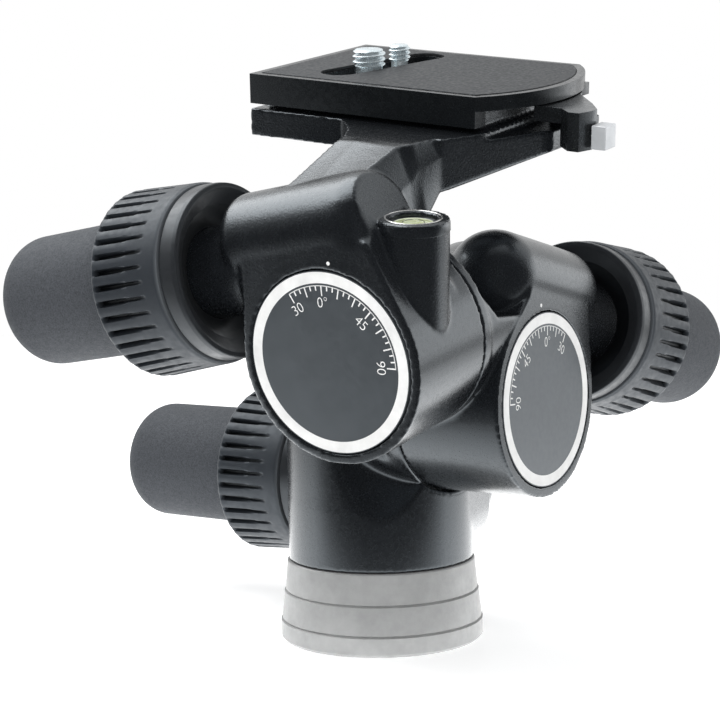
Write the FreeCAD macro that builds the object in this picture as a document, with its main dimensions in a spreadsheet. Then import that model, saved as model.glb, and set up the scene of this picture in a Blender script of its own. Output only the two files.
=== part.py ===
"""Geared tripod head, in millimetres.

A round foot carries three geared joints, one above the other.  The pan body turns on the foot about +Z.
The tilt body turns on the pan body about X, and the roll body, which ends in the quick release platform,
turns on the tilt body about an axis that is along Y when the tilt is zero.  Each joint has the same worm
drive: a wheel on the fixed shaft, and a worm with a knob and a release collar in the body that turns.

The tilt and roll bodies are drawn with both angles at zero and then turned by tilt_angle and roll_angle.
"""
import FreeCAD, Part
import math
import os
import Sketcher
from FreeCAD import Vector

SIZES = [
    # foot
    ("foot_radius", 30.0), ("foot_top_radius", 27.8), ("foot_mid_radius", 28.9),
    ("foot_lower_line", 5.9), ("foot_upper_line", 14.5), ("foot_height", 23.6),
    ("foot_line_depth", 0.35), ("foot_edge", 0.9),
    ("bush_radius", 6.5), ("bush_depth", 12.0), ("tripod_thread_radius", 4.7625),
    ("pan_shaft_radius", 10.0),
    # pan body
    ("housing_radius", 27.3), ("pan_worm_height", 42.3),
    ("tilt_axis_height", 73.1), ("head_radius", 25.2), ("head_length", 25.0), ("head_dome_length", 16.0),
    ("head_flange_width", 5.8), ("lean_limit", 60.6),
    # tilt body, measured along X from the pan axis
    ("tilt_seam", 23.5), ("tilt_face", 56.5), ("tilt_droop", 22.0), ("tilt_angle", 11.0),
    ("roll_neck_radius", 15.5), ("roll_flange_width", 3.6), ("roll_shaft_depth", 5.4),
    # web from the tilt barrel up to the roll flange: depths behind the roll axis end and heights
    ("web_depth", 21.0), ("web_top", 109.5), ("web_step", 4.5), ("web_step_height", 108.4),
    ("web_slope_end", 8.5), ("web_slope_height", 102.4), ("web_low_height", 99.6), ("web_bottom", 84.0),
    # roll body, measured along -Y from the pan axis
    ("roll_axis_across", 29.3), ("roll_axis_rise", 27.0), ("roll_seam", 29.0), ("roll_face", 61.6),
    ("roll_droop", 16.0), ("roll_angle", 7.9),
    # worm drives, measured along the knob from the wheel axis
    ("worm_distance", 26.1), ("worm_setback", 13.2), ("worm_radius", 6.5), ("worm_length", 18.0),
    ("wheel_width", 7.0), ("wheel_teeth", 48), ("tooth_depth", 1.3), ("joint_shaft_radius", 12.0),
    ("worm_shaft_radius", 4.0), ("bush_length", 3.5), ("worm_bore_radius", 7.2),
    # cast tube round a worm, whose own axis lies further out than the worm
    ("tube_offset", 6.2), ("tube_radius", 13.4), ("dome_reach", 24.3), ("dome_round", 12.4),
    ("neck_end", 28.0), ("neck_round", 5.0), ("stem_radius", 12.5), ("stem_end", 46.0),
    ("wall_top", 3.4), ("wall_half_length", 20.4), ("wall_lean", 17.0),
    ("tilt_wall_lean", 33.1), ("tilt_wall_reach", 11.5), ("end_lean", 0.258),
    ("pan_tube_offset", 3.0), ("pan_dome_radius", 16.6), ("pan_neck_radius", 14.2), ("pan_dome_reach", 17.8),
    ("pan_dome_round", 11.8),
    ("pan_wall_half_width", 18.0), ("pan_wall_round", 12.0),
    # collar and knob
    ("mouth_start", 33.6), ("mouth_radius", 23.8), ("mouth_wall", 1.5), ("collar_start", 39.7),
    ("collar_length", 22.6), ("grip_inner_rim", 24.9), ("grip_outer_rim", 26.2), ("sleeve_radius", 22.6),
    ("sleeve_wall", 2.4), ("collar_web", 5.0), ("rib_count", 38), ("rib_gap", 1.7), ("rib_depth", 1.7),
    ("rib_run_out", 6.0), ("cap_radius", 18.8), ("cap_length", 48.1), ("cap_end_round", 11.0),
    ("cap_wall", 2.5), ("cap_hub_radius", 8.0), ("cap_inset", 3.0),
    # dials
    ("dial_radius", 24.3), ("dial_thickness", 2.0),
    # spirit level, measured in the roll body
    ("level_across", 46.0), ("level_forward", 47.4), ("level_top", 137.5), ("level_radius", 9.2),
    ("vial_radius", 6.1), ("vial_height", 7.5),
    # platform and arm, measured in the roll body
    ("platform_top", 151.3), ("platform_thickness", 7.8), ("deck_thickness", 5.3),
    ("platform_left", -33.0), ("platform_block_end", -2.0), ("platform_near", -9.4), ("platform_far", 50.9),
    ("deck_front", -1.0), ("deck_end", 42.6), ("deck_step", 1.9), ("deck_corner", 10.0), ("rail_inset", 2.0),
    ("bracket_start", 37.2), ("bracket_near", -19.5), ("bracket_end", 53.2), ("bracket_end_near", 17.5),
    ("bracket_depth", 14.3), ("bracket_end_depth", 7.3), ("rib_width", 7.0),
    ("pivot_across", 48.0), ("pivot_near", 30.0), ("pivot_radius", 2.0),
    # quick release plate
    ("plate_left", -32.9), ("plate_straight_end", 41.5), ("plate_tip", 53.2), ("plate_rise", 10.0),
    ("plate_slab", 4.0), ("plate_depth", 8.55), ("skirt_width", 5.6), ("plate_pad_inset", 2.4),
    ("pad_recess", 0.7), ("pad_thickness", 0.9), ("plate_slot_width", 9.9), ("slot_length", 36.0),
    ("slot_across", -7.7), ("slot_middle", 22.4), ("slot_turn", 11.0), ("head_recess", 1.2),
    # camera screws, placed along the slot from its middle
    ("large_screw_radius", 4.7625), ("large_screw_rise", 5.2), ("large_head_radius", 6.1),
    ("small_screw_radius", 3.175), ("small_screw_rise", 5.0), ("small_head_radius", 5.4),
    ("large_screw_place", -6.2), ("small_screw_place", 6.6), ("screw_head_height", 2.2),
    ("large_neck_radius", 3.9), ("small_neck_radius", 2.5), ("thread_start", 0.6), ("thread_lead", 0.6),
    # lever and safety catch
    ("lever_hub_radius", 4.5), ("arm_thickness", 4.2),
    ("thumb_left", 57.3), ("thumb_right", 66.6), ("thumb_near", 4.6), ("thumb_far", 19.0),
    ("thumb_bottom", 146.5), ("thumb_corner", 4.5), ("lever_near", 8.6), ("lever_left", 49.5),
    ("catch_across", 67.2), ("catch_width", 4.3), ("catch_near", 7.7), ("catch_length", 6.2),
    ("catch_bottom", 147.0), ("catch_top", 153.4), ("catch_pin_radius", 1.2), ("catch_pin_depth", 3.0),
    ("stop_across", 46.0), ("stop_near", 37.0), ("stop_width", 3.4), ("stop_length", 4.6), ("stop_depth", 2.4),
    # fits
    ("gap", 0.3), ("running", 0.05),
]

# sections across the arm, from the worm tube back to the middle of the platform
ARM_NAMES = ("place", "left", "shoulder", "ridge", "side", "foot",
             "left_height", "shoulder_height", "ridge_height", "side_height", "foot_height")
ARM_SECTIONS = [
    (-54.0, 9.0, 19.5, 30.0, 36.5, 41.0, 140.4, 142.9, 144.8, 136.0, 112.0),
    (-32.0, 12.5, 18.5, 31.5, 35.5, 39.5, 150.9, 151.3, 151.0, 142.0, 112.0),
    (-28.0, 12.0, 18.5, 33.4, 35.6, 38.2, 151.3, 151.3, 151.3, 145.0, 131.0),
    (-19.5, 7.5, 18.0, 35.0, 37.2, 37.2, 151.3, 151.3, 151.3, 147.0, 137.0),
    (-9.4, -1.0, 18.0, 35.0, 37.2, 37.2, 151.3, 151.3, 151.3, 147.0, 138.5),
    (12.6, -1.0, 18.0, 35.0, 37.2, 37.2, 151.3, 151.3, 151.3, 147.0, 143.5),
]
for number, section in enumerate(ARM_SECTIONS):
    for name, value in zip(ARM_NAMES, section):
        SIZES.append(("arm_%s_%d" % (name, number), value))

doc = FreeCAD.newDocument("GearedHead")


class Size:
    """A number that also carries the spreadsheet expression it comes from."""

    def __init__(self, value, text):
        self.value = float(value)
        self.text = text

    def __add__(self, other):
        other = as_size(other)
        return Size(self.value + other.value, "(%s + %s)" % (self.text, other.text))

    def __sub__(self, other):
        other = as_size(other)
        return Size(self.value - other.value, "(%s - %s)" % (self.text, other.text))

    def __mul__(self, other):
        other = as_size(other)
        return Size(self.value * other.value, "(%s * %s)" % (self.text, other.text))

    def __truediv__(self, other):
        other = as_size(other)
        return Size(self.value / other.value, "(%s / %s)" % (self.text, other.text))

    def __radd__(self, other):
        return as_size(other) + self

    def __rsub__(self, other):
        return as_size(other) - self

    def __neg__(self):
        return Size(-self.value, "(0 - %s)" % self.text)


def as_size(number):
    """The number itself if it is a Size already, or a Size with its plain value."""
    if isinstance(number, Size):
        return number
    return Size(number, "%.6f" % number)


def sine(angle):
    return Size(math.sin(math.radians(angle.value)), "sin(%s)" % angle.text)


def cosine(angle):
    return Size(math.cos(math.radians(angle.value)), "cos(%s)" % angle.text)


def make_sheet():
    """Write every size into the spreadsheet and return the sizes by name."""
    sheet = doc.addObject("Spreadsheet::Sheet", "Sizes")
    sizes = {}
    for row, (name, value) in enumerate(SIZES, start=1):
        sheet.set("A%d" % row, name)
        sheet.set("B%d" % row, str(value))
        sheet.setAlias("B%d" % row, name)
        sizes[name] = Size(value, "Sizes." + name)
    doc.recompute()
    return sizes


v = make_sheet()

# ---------------------------------------------------------------- places and frames

X_AXIS = (1, 0, 0)
Y_AXIS = (0, 1, 0)
Z_AXIS = (0, 0, 1)


def placement(position, axis=Z_AXIS, angle=0.0):
    """The expression of a placement at position, turned by angle about axis."""
    place = ";".join(as_size(part).text for part in position)
    direction = ";".join("%g" % part for part in axis)
    return "placement(vector(%s); rotation(vector(%s); %s))" % (place, direction, as_size(angle).text)


roll_axis_height = v["tilt_axis_height"] + v["roll_axis_rise"]
plate_top = v["platform_top"] + v["plate_rise"]

# turning about the tilt axis, and about the roll axis inside the tilt body
TILT_FRAME = placement(
    (0, v["tilt_axis_height"] * sine(v["tilt_angle"]),
     v["tilt_axis_height"] * (1 - cosine(v["tilt_angle"]))),
    X_AXIS, v["tilt_angle"])
ROLL_TURN = placement(
    (v["roll_axis_across"] * (1 - cosine(v["roll_angle"])) - roll_axis_height * sine(v["roll_angle"]),
     0,
     roll_axis_height * (1 - cosine(v["roll_angle"])) + v["roll_axis_across"] * sine(v["roll_angle"])),
    Y_AXIS, v["roll_angle"])
ROLL_FRAME = TILT_FRAME + " * " + ROLL_TURN

# each worm axis: where it passes the wheel, with +Z of the drive's own frame pointing at the knob
# and +X pointing away from the wheel
QUARTER_TURN = " * " + placement((0, 0, 0), Z_AXIS, 90)
QUARTER_BACK = " * " + placement((0, 0, 0), Z_AXIS, -90)
PAN_DRIVE = placement((0, v["worm_distance"], v["pan_worm_height"]), Y_AXIS, -90) + QUARTER_TURN
TILT_DRIVE = placement(
    (v["tilt_face"] - v["worm_setback"], v["worm_distance"] * sine(v["tilt_droop"]),
     v["tilt_axis_height"] + v["worm_distance"] * cosine(v["tilt_droop"])),
    X_AXIS, -90 - v["tilt_droop"]) + QUARTER_BACK
ROLL_DRIVE = placement(
    (v["roll_axis_across"] - v["worm_distance"] * sine(v["roll_droop"]),
     v["worm_setback"] - v["roll_face"],
     roll_axis_height + v["worm_distance"] * cosine(v["roll_droop"])),
    Y_AXIS, -90 - v["roll_droop"])

# ---------------------------------------------------------------- sketches and solids


def origin_plane(body, role):
    for feature in body.Origin.OriginFeatures:
        if feature.Role == role:
            return feature
    raise ValueError(role)


def closed_sketch(body, name, role, points):
    """A closed sketch of straight lines whose corners are bound to the sheet."""
    sketch = body.newObject("Sketcher::SketchObject", name)
    sketch.AttachmentSupport = [(origin_plane(body, role), "")]
    sketch.MapMode = "FlatFace"
    corners = [(as_size(across), as_size(up)) for across, up in points]
    count = len(corners)
    for index, (across, up) in enumerate(corners):
        next_across, next_up = corners[(index + 1) % count]
        start = Vector(across.value, up.value, 0)
        end = Vector(next_across.value, next_up.value, 0)
        sketch.addGeometry(Part.LineSegment(start, end), False)
    for index in range(count):
        sketch.addConstraint(Sketcher.Constraint("Coincident", index, 2, (index + 1) % count, 1))
    for index, corner in enumerate(corners):
        for kind, part in zip(("DistanceX", "DistanceY"), corner):
            number = sketch.addConstraint(Sketcher.Constraint(kind, -1, 1, index, 1, part.value))
            sketch.setExpression("Constraints[%d]" % number, part.text)
    return sketch


def revolved(name, points):
    """A body turned about its own Z from a half section given as (radius, height) corners."""
    body = doc.addObject("PartDesign::Body", name)
    sketch = closed_sketch(body, name + "_section", "XZ_Plane", points)
    turn = body.newObject("PartDesign::Revolution", name + "_turn")
    turn.Profile = sketch
    turn.ReferenceAxis = (sketch, ["V_Axis"])
    turn.Angle = 360
    doc.recompute()
    return body


def padded(name, role, points, length, base=0.0):
    """A body padded from an outline on one of its origin planes, starting at base along the normal."""
    body = doc.addObject("PartDesign::Body", name)
    sketch = closed_sketch(body, name + "_outline", role, points)
    sketch.setExpression("AttachmentOffset.Base.z", as_size(base).text)
    pad = body.newObject("PartDesign::Pad", name + "_pad")
    pad.Profile = sketch
    pad.setExpression("Length", as_size(length).text)
    doc.recompute()
    return body


def round_edges(body, radius, chosen):
    """Fillet the edges of the body's tip that the test picks."""
    base = body.Tip
    names = ["Edge%d" % (n + 1) for n, edge in enumerate(base.Shape.Edges) if chosen(edge)]
    fillet = body.newObject("PartDesign::Fillet", body.Name + "_round")
    fillet.Base = (base, names)
    fillet.setExpression("Radius", radius.text)
    doc.recompute()
    return fillet


def circle_at(radius, height):
    """A test for the round edge of this radius at this height on a turned body."""
    def test(edge):
        box = edge.BoundBox
        flat = box.ZLength < 1e-3 and abs(box.ZMin - height.value) < 1e-3
        return flat and abs(box.XLength / 2 - radius.value) < 1e-3
    return test


def rod(name, radius, length, place):
    """A round bar from place along the Z of that place."""
    bar = doc.addObject("Part::Cylinder", name)
    bar.setExpression("Radius", as_size(radius).text)
    bar.setExpression("Height", as_size(length).text)
    bar.setExpression("Placement", place)
    return bar


def rod_x(name, radius, start, end, along_y, height):
    return rod(name, radius, as_size(end) - start, placement((start, along_y, height), Y_AXIS, 90))


def rod_y(name, radius, start, end, along_x, height):
    return rod(name, radius, as_size(end) - start, placement((along_x, start, height), X_AXIS, -90))


def rod_z(name, radius, start, end, along_x=0.0, along_y=0.0):
    return rod(name, radius, as_size(end) - start, placement((along_x, along_y, start)))


def block(name, low, high):
    """A box between two corners."""
    box = doc.addObject("Part::Box", name)
    for side, start, end in zip(("Length", "Width", "Height"), low, high):
        box.setExpression(side, (as_size(end) - start).text)
    box.setExpression("Placement", placement(low))
    return box


def fused(name, shapes):
    union = doc.addObject("Part::MultiFuse", name)
    union.Refine = False
    union.Shapes = shapes
    return union


def cut(name, base, tools):
    """The base less every tool, one tool after another."""
    result = base
    for number, tool in enumerate(tools):
        step = doc.addObject("Part::Cut", "%s_%d" % (name, number))
        step.Refine = False
        step.Base = result
        step.Tool = tool
        result = step
    return result


def common(name, first, second):
    result = doc.addObject("Part::Common", name)
    result.Base = first
    result.Tool = second
    return result


def put(thing, place):
    thing.setExpression("Placement", place)
    return thing


nodes = {}


def node(label, thing, frame=None):
    """Keep an object as the node with this label, turned into its frame."""
    thing.Label = label
    if frame:
        put(thing, frame)
    nodes[label] = thing
    return thing


# ---------------------------------------------------------------- worm drive

wheel_radius = v["worm_distance"] - v["worm_radius"] - v["gap"]
cavity_radius = wheel_radius + v["gap"]
collar_end = v["collar_start"] + v["collar_length"]
cap_start = collar_end - v["cap_inset"]
cap_end = collar_end + v["cap_length"]
rear_bush_start = -v["worm_length"] / 2 - v["gap"] - v["bush_length"]
front_bush_start = v["worm_length"] / 2 + v["gap"]
bush_bore_radius = v["worm_shaft_radius"] + v["running"]
bush_outer_radius = v["worm_bore_radius"]


def worm_tube(name, place, offset, dome_radius, neck_radius, reach, end_round):
    """The cast tube round a worm, with a domed end, and the stem that the collar turns on."""
    body = revolved(name, [
        (0, -reach),
        (dome_radius, -reach),
        (neck_radius, v["neck_end"]),
        (0, v["neck_end"]),
    ])
    round_edges(body, end_round, circle_at(dome_radius, -reach))
    round_edges(body, v["neck_round"], circle_at(neck_radius, v["neck_end"]))
    put(body, place + " * " + placement((offset, 0, 0)))
    return [body, rod(name + "_stem", v["stem_radius"], v["stem_end"], place)]


def worm_wall(name, place, half_width, front_lean, front_top, front_reach, end_round=None):
    """The flat sided wall between a barrel and the worm tube, tangent to the barrel at both ends."""
    half = v["wall_half_length"]
    across = v["housing_radius"] * sine(v["wall_lean"]) - v["worm_distance"]
    along = v["housing_radius"] * cosine(v["wall_lean"])
    front_across = v["housing_radius"] * sine(front_lean) - v["worm_distance"]
    front_along = v["housing_radius"] * cosine(front_lean)
    body = padded(name, "XZ_Plane", [
        (-v["worm_distance"], 0),
        (front_across, -front_along),
        (front_top, -front_reach),
        (v["tube_offset"], 0),
        (v["wall_top"], half),
        (across, along),
    ], half_width * 2, -half_width)
    if end_round:
        def at_dome_end(edge):
            box = edge.BoundBox
            return box.YLength < 1e-3 and box.ZLength > 1 and box.ZMax < 1e-3 - front_reach.value
        round_edges(body, end_round, at_dome_end)
    return put(body, place)


def worm_bore(name, place):
    """What is cut out of a worm tube: the worm's bore, and the hole for its shaft through the stem."""
    shaft_hole = v["worm_shaft_radius"] + v["gap"]
    body = revolved(name, [
        (0, rear_bush_start),
        (v["worm_bore_radius"], rear_bush_start),
        (v["worm_bore_radius"], front_bush_start + v["bush_length"]),
        (shaft_hole, front_bush_start + v["bush_length"]),
        (shaft_hole, v["stem_end"] + 1),
        (0, v["stem_end"] + 1),
    ])
    return put(body, place)


def worm_shaft(label, place):
    """The worm and its shaft, with the thread as a row of grooves."""
    thread_pitch = v["worm_length"] / 8
    half = v["worm_length"] / 2
    body = revolved(label, [
        (0, rear_bush_start + v["gap"]),
        (v["worm_shaft_radius"], rear_bush_start + v["gap"]),
        (v["worm_shaft_radius"], -half),
        (v["worm_radius"], -half),
        (v["worm_radius"], half),
        (v["worm_shaft_radius"], half),
        (v["worm_shaft_radius"], cap_end - v["cap_end_round"]),
        (0, cap_end - v["cap_end_round"]),
    ])
    section = closed_sketch(body, label + "_thread", "XZ_Plane", [
        (v["worm_radius"] + 0.2, -half + thread_pitch * 0.2),
        (v["worm_radius"] + 0.2, -half + thread_pitch * 0.8),
        (v["worm_radius"] - v["tooth_depth"], -half + thread_pitch * 0.5),
    ])
    groove = body.newObject("PartDesign::Groove", label + "_groove")
    groove.Profile = section
    groove.ReferenceAxis = (section, ["V_Axis"])
    groove.Angle = 360
    doc.recompute()
    pattern = body.newObject("PartDesign::LinearPattern", label + "_grooves")
    pattern.Originals = [groove]
    pattern.Direction = (section, ["V_Axis"])
    pattern.setExpression("Length", (thread_pitch * 7).text)
    pattern.Occurrences = 8
    body.Tip = pattern
    doc.recompute()
    return node(label, body, place)


def ring(label, inner, outer, start, end, place):
    """A plain ring or bush about the Z of its place."""
    body = revolved(label, [(inner, start), (outer, start), (outer, end), (inner, end)])
    return node(label, body, place)


def worm_wheel(label, inner, place):
    """The wheel on the fixed shaft, with gaps cut between its teeth."""
    half = v["wheel_width"] / 2
    body = revolved(label, [(inner, -half), (wheel_radius, -half), (wheel_radius, half), (inner, half)])
    gap_width = v["tooth_depth"]
    outline = closed_sketch(body, label + "_gap", "XY_Plane", [
        (wheel_radius - v["tooth_depth"], gap_width * -0.25),
        (wheel_radius + 0.5, gap_width * -0.6),
        (wheel_radius + 0.5, gap_width * 0.6),
        (wheel_radius - v["tooth_depth"], gap_width * 0.25),
    ])
    pocket = body.newObject("PartDesign::Pocket", label + "_pocket")
    pocket.Profile = outline
    pocket.Midplane = True
    pocket.setExpression("Length", (v["wheel_width"] * 2).text)
    doc.recompute()
    pattern = body.newObject("PartDesign::PolarPattern", label + "_teeth")
    pattern.Originals = [pocket]
    pattern.Axis = (outline, ["N_Axis"])
    pattern.Angle = 360
    pattern.setExpression("Occurrences", v["wheel_teeth"].text)
    body.Tip = pattern
    doc.recompute()
    return node(label, body, place)


def knob_cap(label, place):
    """The knob: a shell with a large round end and a hub on the shaft."""
    inside = v["cap_radius"] - v["cap_wall"]
    hub_end = cap_end - v["cap_end_round"]
    body = revolved(label, [
        (v["worm_shaft_radius"], cap_start + v["cap_hub_radius"]),
        (v["cap_hub_radius"], cap_start + v["cap_hub_radius"]),
        (v["cap_hub_radius"], hub_end),
        (inside, hub_end),
        (inside, cap_start),
        (v["cap_radius"], cap_start),
        (v["cap_radius"], cap_end),
        (0, cap_end),
        (0, hub_end),
        (v["worm_shaft_radius"], hub_end),
    ])
    round_edges(body, v["cap_end_round"], circle_at(v["cap_radius"], cap_end))
    return node(label, body, place)


def collar_sleeve(label, place):
    """The release collar's metal sleeve: an open mouth, a web that turns on the stem, and a skirt."""
    bore = v["stem_radius"] + v["running"]
    web_end = v["collar_start"] + v["collar_web"]
    skirt_inside = v["sleeve_radius"] - v["sleeve_wall"]
    body = revolved(label, [
        (bore, v["collar_start"]),
        (v["mouth_radius"] - v["mouth_wall"], v["mouth_start"]),
        (v["mouth_radius"], v["mouth_start"]),
        (v["mouth_radius"] + v["gap"], v["collar_start"] - v["gap"]),
        (v["sleeve_radius"], v["collar_start"] - v["gap"]),
        (v["sleeve_radius"], collar_end - v["gap"]),
        (skirt_inside, collar_end - v["gap"]),
        (skirt_inside, web_end),
        (bore, web_end),
    ])
    return node(label, body, place)


def collar_grip(label, place):
    """The rubber ring on the collar, with grooves that run out towards its inner end."""
    body = revolved(label, [
        (v["sleeve_radius"], v["collar_start"]),
        (v["grip_inner_rim"], v["collar_start"]),
        (v["grip_outer_rim"], collar_end),
        (v["sleeve_radius"], collar_end),
    ])
    start = v["collar_start"] + v["rib_run_out"]
    section = closed_sketch(body, label + "_groove_section", "XZ_Plane", [
        (v["grip_outer_rim"] - v["rib_depth"], collar_end + 1),
        (v["grip_outer_rim"] + 2, collar_end + 1),
        (v["grip_outer_rim"] + 2, start),
        (v["grip_inner_rim"] + 0.3, start),
    ])
    pocket = body.newObject("PartDesign::Pocket", label + "_groove")
    pocket.Profile = section
    pocket.Midplane = True
    pocket.setExpression("Length", v["rib_gap"].text)
    doc.recompute()
    pattern = body.newObject("PartDesign::PolarPattern", label + "_grooves")
    pattern.Originals = [pocket]
    pattern.Axis = (section, ["V_Axis"])
    pattern.Angle = 360
    pattern.setExpression("Occurrences", v["rib_count"].text)
    body.Tip = pattern
    doc.recompute()
    return node(label, body, place)


def worm_drive(prefix, place):
    """Everything of one worm drive that isn't part of the casting."""
    worm_shaft(prefix + "_worm_shaft", place)
    for side, start in (("rear", rear_bush_start), ("front", front_bush_start)):
        ring("%s_worm_bush_%s" % (prefix, side), bush_bore_radius, bush_outer_radius,
             start, start + v["bush_length"], place)
    collar_sleeve(prefix + "_collar_sleeve", place)
    collar_grip(prefix + "_collar_grip", place)
    knob_cap(prefix + "_knob_cap", place)


# ---------------------------------------------------------------- foot

# the pan body turns on this hub, which fills its cavity
hub_radius = cavity_radius - v["running"]
wheel_low = v["pan_worm_height"] - v["wheel_width"] / 2


def make_foot():
    """The fixed foot with the hub and shaft that the pan body turns on."""
    line = v["foot_line_depth"]
    foot = revolved("foot", [
        (v["bush_radius"], 0),
        (v["foot_radius"] - v["foot_edge"], 0),
        (v["foot_radius"], v["foot_edge"]),
        (v["foot_radius"], v["foot_lower_line"] - line),
        (v["foot_radius"] - line * 2, v["foot_lower_line"]),
        (v["foot_radius"] - line, v["foot_lower_line"] + line),
        (v["foot_mid_radius"], v["foot_upper_line"] - line),
        (v["foot_mid_radius"] - line * 2, v["foot_upper_line"]),
        (v["foot_mid_radius"] - line, v["foot_upper_line"] + line),
        (v["foot_top_radius"], v["foot_height"] - line),
        (v["foot_top_radius"] - line, v["foot_height"]),
        (hub_radius, v["foot_height"]),
        (hub_radius, wheel_low),
        (v["pan_shaft_radius"], wheel_low),
        (v["pan_shaft_radius"], wheel_low + v["wheel_width"]),
        (0, wheel_low + v["wheel_width"]),
        (0, v["bush_depth"]),
        (v["bush_radius"], v["bush_depth"]),
    ])
    node("foot", foot)
    ring("tripod_thread_bush", v["tripod_thread_radius"], v["bush_radius"], 0, v["bush_depth"],
         placement((0, 0, 0)))
    worm_wheel("pan_worm_wheel", v["pan_shaft_radius"], placement((0, 0, v["pan_worm_height"])))


# ---------------------------------------------------------------- pan body


def make_pan_body():
    """The column and the head on top of it, which carries the fixed tilt shaft along X."""
    height = v["tilt_axis_height"]
    clear_seam = v["tilt_seam"] - v["gap"]
    column_low = v["foot_height"] + v["gap"]
    column = rod_z("pan_column", v["housing_radius"], column_low, height)
    head = revolved("pan_head", [
        (0, -v["head_length"]),
        (v["head_radius"], -v["head_length"]),
        (v["head_radius"], clear_seam),
        (0, clear_seam),
    ])
    round_edges(head, v["head_dome_length"], circle_at(v["head_radius"], -v["head_length"]))
    put(head, placement((0, 0, height), Y_AXIS, 90))
    flange = rod_x("pan_flange", v["housing_radius"], clear_seam - v["head_flange_width"], clear_seam,
                   0, height)
    # the roll barrel dips into the front of the column when the tilt body leans forward
    dip_radius = v["housing_radius"] + v["gap"] * 2
    keep = rod_x("pan_recess_keep", v["housing_radius"] + v["gap"], -v["housing_radius"],
                 v["roll_axis_across"] + dip_radius + v["gap"], 0, height)
    place = (placement((0, 0, height), X_AXIS, v["lean_limit"]) + " * "
             + placement((v["roll_axis_across"], -v["roll_face"], v["roll_axis_rise"]), X_AXIS, -90))
    recess = cut("pan_recess", rod("pan_recess_dip", dip_radius, v["roll_face"], place), [keep])
    column_top = cut("pan_column_cut", column, [recess])
    wall = worm_wall("pan_wall", PAN_DRIVE, v["pan_wall_half_width"], v["wall_lean"], v["wall_top"],
                     v["wall_half_length"], v["pan_wall_round"])
    tube = worm_tube("pan_tube", PAN_DRIVE, v["pan_tube_offset"], v["pan_dome_radius"], v["pan_neck_radius"],
                     v["pan_dome_reach"], v["pan_dome_round"])
    body = fused("pan_cast", [column_top, head, flange, wall] + tube)
    cavity_top = v["pan_worm_height"] + v["wheel_width"] / 2 + v["gap"]
    tools = [
        rod_x("pan_side_clear", v["housing_radius"] + v["gap"] * 2, clear_seam, v["tilt_face"], 0, height),
        rod_z("pan_cavity", cavity_radius, column_low - 1, cavity_top),
        rod_x("pan_tilt_bore", v["joint_shaft_radius"], -v["joint_shaft_radius"], clear_seam + 1, 0, height),
        worm_bore("pan_bore", PAN_DRIVE),
    ]
    node("pan_housing", cut("pan_housing_body", body, tools))
    worm_drive("pan", PAN_DRIVE)
    shaft_end = v["tilt_face"] - v["dial_thickness"]
    node("tilt_shaft", rod_x("tilt_shaft", v["joint_shaft_radius"], -v["joint_shaft_radius"], shaft_end,
                             0, height))
    worm_wheel("tilt_worm_wheel", v["joint_shaft_radius"],
               placement((v["tilt_face"] - v["worm_setback"], 0, height), Y_AXIS, 90))
    node("tilt_dial", rod_x("tilt_dial", v["dial_radius"], shaft_end, v["tilt_face"], 0, height))


# ---------------------------------------------------------------- tilt body


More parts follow.
